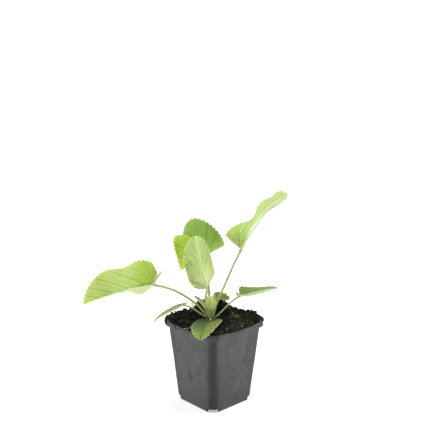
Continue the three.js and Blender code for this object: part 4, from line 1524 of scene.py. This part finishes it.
def bank_crumbs():
    for _ in range(BANK_TRIES):
        on_bank = Vector((dice.uniform(-23, 23), dice.uniform(-12, 12)))
        x, y = Matrix.Rotation(math.radians(BANK_TURN), 2) @ on_bank + Vector((BANK_X, BANK_Y))
        if square_half(x, y) < 44:
            yield x, y, ground(x, y), dice.uniform(0.6, 1.7), 0.03


def clods():
    for _ in range(CLOD_TRIES):
        x, y = dice.choice([
            (dice.uniform(x_from, x_to), dice.uniform(y_from, y_to))
            for x_from, x_to, y_from, y_to in CLOD_FIELDS])
        if square_half(x, y) < 44:
            yield x, y, ground(x, y), dice.uniform(1.1, 2.1), 0.02


def skyline_clods():
    for _ in range(SKYLINE_TRIES):
        along, away = dice.uniform(-36, 36), dice.uniform(38, 43.5)
        x, y = dice.choice(((along, away), (away, along)))
        yield x, y, ground(x, y) + dice.uniform(0, 0.7), dice.uniform(1.3, 2.3), 0.02


def crumb_spots():
    """Place, radius and chance of being pale of each loose crumb."""
    spots = [*fine_crumbs(), *rim_crumbs(), *bank_crumbs(), *clods(), *skyline_clods()]
    while len(spots) < ALL_CRUMBS:
        x, y = rounded_square(LIP_HALF, LIP_RADIUS, dice.random())
        if x < -30 and dice.random() < smooth_step(-26, 40, y):
            spots.append((x, y, 100.4 - 7 * dice.random() ** 1.5, dice.uniform(0.45, 1.25), 0.12))
    return spots


print(ALL_CRUMBS, "crumbs lie by chance")

# %% [markdown]
# ## Crumbs with a place of their own
# A few crumbs stand out in the photograph: pale ones, olive ones, and grains that stick to the pot's
# walls. Chance would not put them there, so they are listed one by one.

# %% Placed crumbs
# Place, radius, how pale and how olive.
PLACED_CRUMBS = [
    ((32.2, -44.6, 101), 0.8, 0.9, 0), ((17.5, -30.2, 102.4), 0.7, 0.8, 0.1),
    ((37, -23.6, 102.6), 0.9, 0.7, 0), ((26.3, 1.7, 103), 0.8, 0.6, 0),
    ((31.2, -5.5, 102.8), 0.8, 0.6, 0), ((19.8, -36.2, 102.4), 1.3, 0.2, 0.9),
    ((6.6, -34.4, 102.4), 1.1, 0.15, 0.9), ((31.3, -33.3, 103.2), 1.2, 0.25, 0.8),
    ((35.6, -37.4, 102.6), 1.1, 0.3, 0.7), ((-5.8, 43.6, 103), 1.5, 0.1, 0),
    ((-34.4, 35.4, 102.8), 1.6, 0.25, 0), ((-45.2, 4.5, 94.6), 0.45, 0, 0),
    ((-45.2, -4.3, 94.6), 0.4, 0, 0), ((-40.8, 7.7, 89), 0.5, 0, 0),
    ((-40.6, 3.3, 87.2), 0.45, 0, 0), ((15, -44.8, 97.5), 0.4, 0, 0),
    ((-2, -45.1, 96.6), 0.45, 0, 0), ((-38.1, -1.1, 60), 0.6, 0, 0),
]
print(len(PLACED_CRUMBS), "crumbs are placed by hand")

# %% [markdown]
# ## Damp peat
# Damp peat is nearly black, with a brown shade on its clods, specks of dry dust, and a film of
# algae that turns patches of it olive. It hardly shines. The clods' own noise also gives the relief,
# so light and colour agree. Two attributes mark the olive patches and the pale crumbs.

# %% Damp peat


def damp_peat():
    material, tree, surface = new_material("damp_peat")
    clods = grain(tree, place(tree), 2.6, 4, 0.65, 0.5)
    patches = grain(tree, place(tree), 11, 2, 0.6)
    dust = grain(tree, place(tree), 0.45, 3, 0.7)
    color = mixed(tree, spread(tree, clods, 0.38, 0.68), linear(5, 5, 4), linear(22, 20, 16))
    color = mixed(tree, spread(tree, patches, 0.52, 0.7, 0, 0.5), color, linear(26, 26, 15))
    color = mixed(tree, spread(tree, dust, 0.62, 0.8, 0, 0.36), color, linear(62, 60, 48))
    color = mixed(tree, attribute(tree, "olive"), color, linear(54, 60, 34))
    color = mixed(tree, attribute(tree, "pale"), color, linear(150, 148, 126))
    normal = relief(tree, clods, 1.3)
    normal = relief(tree, dust, 0.35, 0.8, normal)
    set_surface(tree, surface, {
        "Base Color": color, "Roughness": spread(tree, clods, 0.3, 0.7, 0.7, 0.95), "Normal": normal,
        "Specular IOR Level": 0.12})
    return material


DAMP_PEAT = damp_peat()
print(DAMP_PEAT.name, "described")

# %% [markdown]
# ## The peat, put together
# The heap and its crumbs share one material, and both take the olive film from the same few spots.

# %% Build the peat
# Centre x and y, size, and strength of each olive patch.
OLIVE_SPOTS = [
    (33, -31, 9, 0.45), (22, -14, 9, 0.5), (26, 6, 7, 0.45), (10, -38, 8, 0.4), (-6, -42, 7, 0.4)]
HANDFUL = 80
LARGE_CRUMB = 1.1


def olive_at(x, y):
    return max(
        strength * math.exp(-(((x - spot_x) ** 2 + (y - spot_y) ** 2) / size**2))
        for spot_x, spot_y, size, strength in OLIVE_SPOTS)


def make_heap():
    bm = crumb_mesh()
    ring_shell(bm, peat_rings(), PEAT_SEGMENTS, peat_point)
    close_and_face_out(bm)
    olive = bm.verts.layers.float["olive"]
    for vertex in bm.verts:
        vertex[olive] = olive_at(vertex.co.x, vertex.co.y) if vertex.co.z > POT_HEIGHT else 0
    finish_piece("heaped_peat", bm, [DAMP_PEAT], "potting_soil")


def make_crumbs():
    whole, handful = crumb_mesh(), crumb_mesh()
    for count, (x, y, z, radius, pale_chance) in enumerate(crumb_spots()):
        spot = Vector((x, y, z + crumble(Vector((x, y, z))) * 0.6 + radius * 0.1))
        pale = dice.uniform(0.2, 0.6) if dice.random() < pale_chance else dice.choice((0, 0, 0.04, 0.12))
        olive = olive_at(x, y) * dice.uniform(0.3, 1.6)
        add_crumb(handful, spot, radius, 2 if radius > LARGE_CRUMB else 1, pale, olive)
        if count % HANDFUL == HANDFUL - 1:
            pour(whole, handful)
    for spot, radius, pale, olive in PLACED_CRUMBS:
        add_crumb(handful, Vector(spot), radius, 2, pale, olive)
    pour(whole, handful)
    handful.free()
    finish_piece("peat_crumbs", whole, [DAMP_PEAT], None)


make_heap()
make_crumbs()

# %% [markdown]
# ## Root fibres
# Potting peat is full of thin brown fibres, and two pale ones hang over the lip on the left. Hair
# curves could draw them, but only real meshes are exported. They are the same rolled tubes as the
# stalks, with five sides, because each is only about 0.3 mm thick. The others wander over the
# ground in three short steps, with both ends sunk in it.

# %% Fibres
FIBRE_TRIES = 90
FIBRE_HANDFUL = 30
FIBRE_STEPS, FIBRE_SIDES = 8, 5
# Points, radius and paleness of the two that hang over the lip.
HANGING_FIBRES = [
    ([(-45.5, 2.9, 97.6), (-46.2, 0.9, 98.4), (-46.7, -1.4, 99.2), (-46.4, -3.4, 101.2)], 0.22, 0.62),
    ([(-46, -4, 99.4), (-46.5, -5.6, 100), (-46.2, -7.4, 101.6)], 0.2, 0.55),
]


def fibre_skin():
    material, tree, surface = new_material("root_fibre")
    tone = grain(tree, place(tree), 1.5, 2)
    brown = mixed(tree, tone, linear(52, 38, 26), linear(112, 90, 62))
    color = mixed(tree, attribute(tree, "pale"), brown, linear(226, 222, 210))
    set_surface(tree, surface, {"Base Color": color, "Roughness": 0.7, "Normal": relief(tree, tone, 0.1)})
    return material


def add_fibre(bm, points, radius, pale):
    path, _ = spaced_curve([Vector(p) for p in points], FIBRE_STEPS)
    radii = [radius * (0.4 if k in (0, FIBRE_STEPS) else 1) for k in range(FIBRE_STEPS + 1)]
    for vertex in tube(bm, path, radii, Vector((0, 0.3, 1)), FIBRE_SIDES):
        vertex[bm.verts.layers.float["pale"]] = pale


def wandering_points(x, y):
    angle, points = dice.uniform(0, 6.3), []
    for step in range(4):
        points.append((x, y, ground(x, y) + (-0.6 if step in (0, 3) else dice.uniform(0.5, 1.4))))
        angle += dice.uniform(-0.9, 0.9)
        reach = dice.uniform(1.2, 3)
        x, y = clamp(x + math.cos(angle) * reach, -44, 44), clamp(y + math.sin(angle) * reach, -44, 44)
    return points


def make_fibres():
    whole, handful = crumb_mesh(), crumb_mesh()
    for count in range(FIBRE_TRIES):
        x, y = dice.uniform(-42, 42), dice.uniform(-42, 42)
        if square_half(x, y) > 43:
            continue
        add_fibre(handful, wandering_points(x, y), dice.uniform(0.09, 0.2), 0.5 if dice.random() < 0.2 else 0)
        if count % FIBRE_HANDFUL == FIBRE_HANDFUL - 1:
            pour(whole, handful)
    for points, radius, pale in HANGING_FIBRES:
        add_fibre(handful, points, radius, pale)
    pour(whole, handful)
    handful.free()
    finish_piece("root_fibres", whole, [fibre_skin()], None)


make_fibres()

# %% [markdown]
# ## Moss
# A small cushion of moss grows on the peat, bright green on one side. Hair would be too much for
# something 15 mm wide. A flattened ball, roughened by noise, carries many tiny pointed leaves, each a
# cone with three sides that leans its own way. An attribute marks the bright part.

# %% Moss
MOSS_TURN = Matrix.Rotation(math.radians(-43), 4, "Z")
MOSS_CENTER = Vector((17.5, -16.5, 101.9))
MOSS_HALF_SIZE = 7.5, 6, 1.5
MOSS_LEAVES = 260
BRIGHT_MOSS, BRIGHT_REACH = Vector((21.5, -17, 103.4)), 3.2


def moss_green():
    material, tree, surface = new_material("moss_green")
    tufts = grain(tree, place(tree), 0.9, 3, 0.7)
    dark = mixed(tree, spread(tree, tufts, 0.35, 0.65), linear(30, 34, 18), linear(62, 76, 36))
    bright = mixed(tree, tufts, linear(84, 132, 40), linear(122, 164, 62))
    set_surface(tree, surface, {
        "Base Color": mixed(tree, attribute(tree, "lush"), dark, bright), "Roughness": 0.8,
        "Normal": relief(tree, tufts, 0.4), "Specular IOR Level": 0.25})
    return material


def make_moss():
    bm = bmesh.new()
    lush = bm.verts.layers.float.new("lush")
    shape = Matrix.Translation(MOSS_CENTER) @ MOSS_TURN @ Matrix.Diagonal((*MOSS_HALF_SIZE, 1))
    bmesh.ops.create_icosphere(bm, subdivisions=5, radius=1, matrix=shape)
    for vertex in bm.verts:
        if vertex.co.z > MOSS_CENTER.z - 0.3:
            vertex.co.z += 0.55 * noise.noise(vertex.co / 1.6) + 0.35 * noise.noise(vertex.co / 0.7)
    for _ in range(MOSS_LEAVES):
        angle, reach = dice.uniform(0, 6.3), math.sqrt(dice.random()) * 0.96
        spot = Vector((math.cos(angle) * reach, math.sin(angle) * reach, math.sqrt(1 - reach * reach)))
        lean = Matrix.Rotation(dice.uniform(0.2, 1.1), 4, (dice.uniform(-1, 1), dice.uniform(-1, 1), 0.01))
        bmesh.ops.create_cone(
            bm, cap_ends=True, segments=3, radius1=0.28, radius2=0.03, depth=dice.uniform(0.9, 1.8),
            matrix=Matrix.Translation(shape @ spot) @ lean)
    for vertex in bm.verts:
        away = (vertex.co - BRIGHT_MOSS).length / BRIGHT_REACH
        vertex[lush] = clamp(math.exp(-away * away) * (1.1 + 0.8 * noise.noise(vertex.co / 1.2)))
    finish_piece("moss_tuft", bm, [moss_green()], "moss_patch")


make_moss()

# %% [markdown]
# ## The dead twig
# A bit of dead stalk stands in the peat behind the crown. It is one more rolled tube, with a ring
# like a knot at every thirteenth step, a thin broken end, and bark with furrows along it.

# %% Twig
TWIG_POINTS = [(-10.9, 20.9, 103.6), (-11.5, 21.5, 109.5), (-12.8, 22.4, 113.6), (-15, 24, 117.5)]
TWIG_STEPS = 36
KNOT_EVERY, KNOT_AT = 13, 8


def twig_bark():
    material, tree, surface = new_material("twig_bark")
    furrows = grain(tree, place(tree, (1, 1, 0.2)), 0.5, 3, 0.7)
    lichen = grain(tree, place(tree), 1.6, 2)
    color = mixed(tree, spread(tree, furrows, 0.35, 0.65), linear(58, 48, 44), linear(112, 102, 98))
    color = mixed(tree, spread(tree, lichen, 0.55, 0.7, 0, 0.5), color, linear(140, 134, 128))
    set_surface(tree, surface, {
        "Base Color": color, "Roughness": 0.85, "Normal": relief(tree, furrows, 0.35),
        "Specular IOR Level": 0.25})
    return material


def make_twig():
    bm = bmesh.new()
    path, _ = spaced_curve([Vector(p) for p in TWIG_POINTS], TWIG_STEPS)
    radii = [
        0.8 - 0.006 * k + 0.16 * soft_line(k % KNOT_EVERY - KNOT_AT, 1.3) for k in range(TWIG_STEPS + 1)]
    radii[-2:] = 0.5, 0.32
    for vertex in tube(bm, path, radii, Vector((1, 0, 0)), 16):
        vertex.co += Vector((1, 1, 0)) * (0.14 * noise.noise(vertex.co / 0.8))
    finish_piece("dead_twig", bm, [twig_bark()], "twig", 50)


make_twig()

# %% [markdown]
# ## The crown
# All leaves grow from the crown, the knobbly top of the rootstock. It is round, so a spin of its
# profile would make it, too, but ring_shell can fold it on its way round. The dry sheaths of
# earlier leaves stand round it, as flat tubes that taper at both ends.

# %% Crown
CROWN_X, CROWN_Y, CROWN_RADIUS = -6.3, -0.9, 4.4
CROWN_FOOT_Z, CROWN_TOP_Z = 97, 104.2
CROWN_SEGMENTS = 96
SHEATHS, SHEATH_TURN = 9, 0.7
SHEATH_STEPS, SHEATH_SIDES = 12, 12
# Each ring's share of the radius and of the height.
CROWN_PROFILE = [
    (0.02, 0), (0.6, 0), (0.86, 0.2), (1, 0.38), (1, 0.52), (0.95, 0.65), (0.8, 0.8), (0.6, 0.9),
    (0.3, 0.98), (0.02, 1)]


def crown_skin():
    material, tree, surface = new_material("crown_tissue")
    folds = grain(tree, place(tree, (1, 1, 0.2)), 0.8, 3, 0.6)
    stain = grain(tree, place(tree), 2.5, 2)
    color = mixed(tree, spread(tree, folds, 0.35, 0.65), linear(52, 50, 28), linear(104, 108, 60))
    color = mixed(tree, spread(tree, stain, 0.5, 0.7, 0, 0.7), color, linear(70, 52, 34))
    set_surface(tree, surface, {
        "Base Color": color, "Roughness": 0.75, "Normal": relief(tree, folds, 0.3),
        "Specular IOR Level": 0.3})
    return material


def crown_point(ring, share):
    out, up = ring
    angle = share * 2 * math.pi
    height = lerp(CROWN_FOOT_Z, CROWN_TOP_Z, up)
    around = Vector((math.cos(angle), math.sin(angle), height / 3))
    folds = 0.06 * math.sin(SHEATHS * angle) + 0.1 * noise.noise(around * 1.7)
    reach = CROWN_RADIUS * out * (0.97 + folds * min(1, 3 * (1 - up)))
    return Vector((CROWN_X + reach * math.cos(angle), CROWN_Y + reach * math.sin(angle), height))


def make_crown():
    bm = bmesh.new()
    ring_shell(bm, CROWN_PROFILE, CROWN_SEGMENTS, crown_point)
    foot = Vector((CROWN_X, CROWN_Y, 0))
    for count in range(SHEATHS):
        angle = count * SHEATH_TURN + dice.uniform(-0.2, 0.2)
        out = Vector((math.cos(angle), math.sin(angle), 0))
        profile = (3.6, 99.5), (4.6, 101.6), (4.5, 103), (4.1, dice.uniform(103.4, 105.2))
        points = [foot + out * reach + Vector((0, 0, z)) for reach, z in profile]
        path, _ = spaced_curve(points, SHEATH_STEPS)
        radii = [1.5 * math.sin(math.pi * (k + 0.6) / 13.2) ** 0.6 for k in range(SHEATH_STEPS + 1)]
        tube(bm, path, radii, out, around=SHEATH_SIDES, squash=0.28)
    close_and_face_out(bm)
    finish_piece("rootstock_crown", bm, [crown_skin()], "crown")


make_crown()
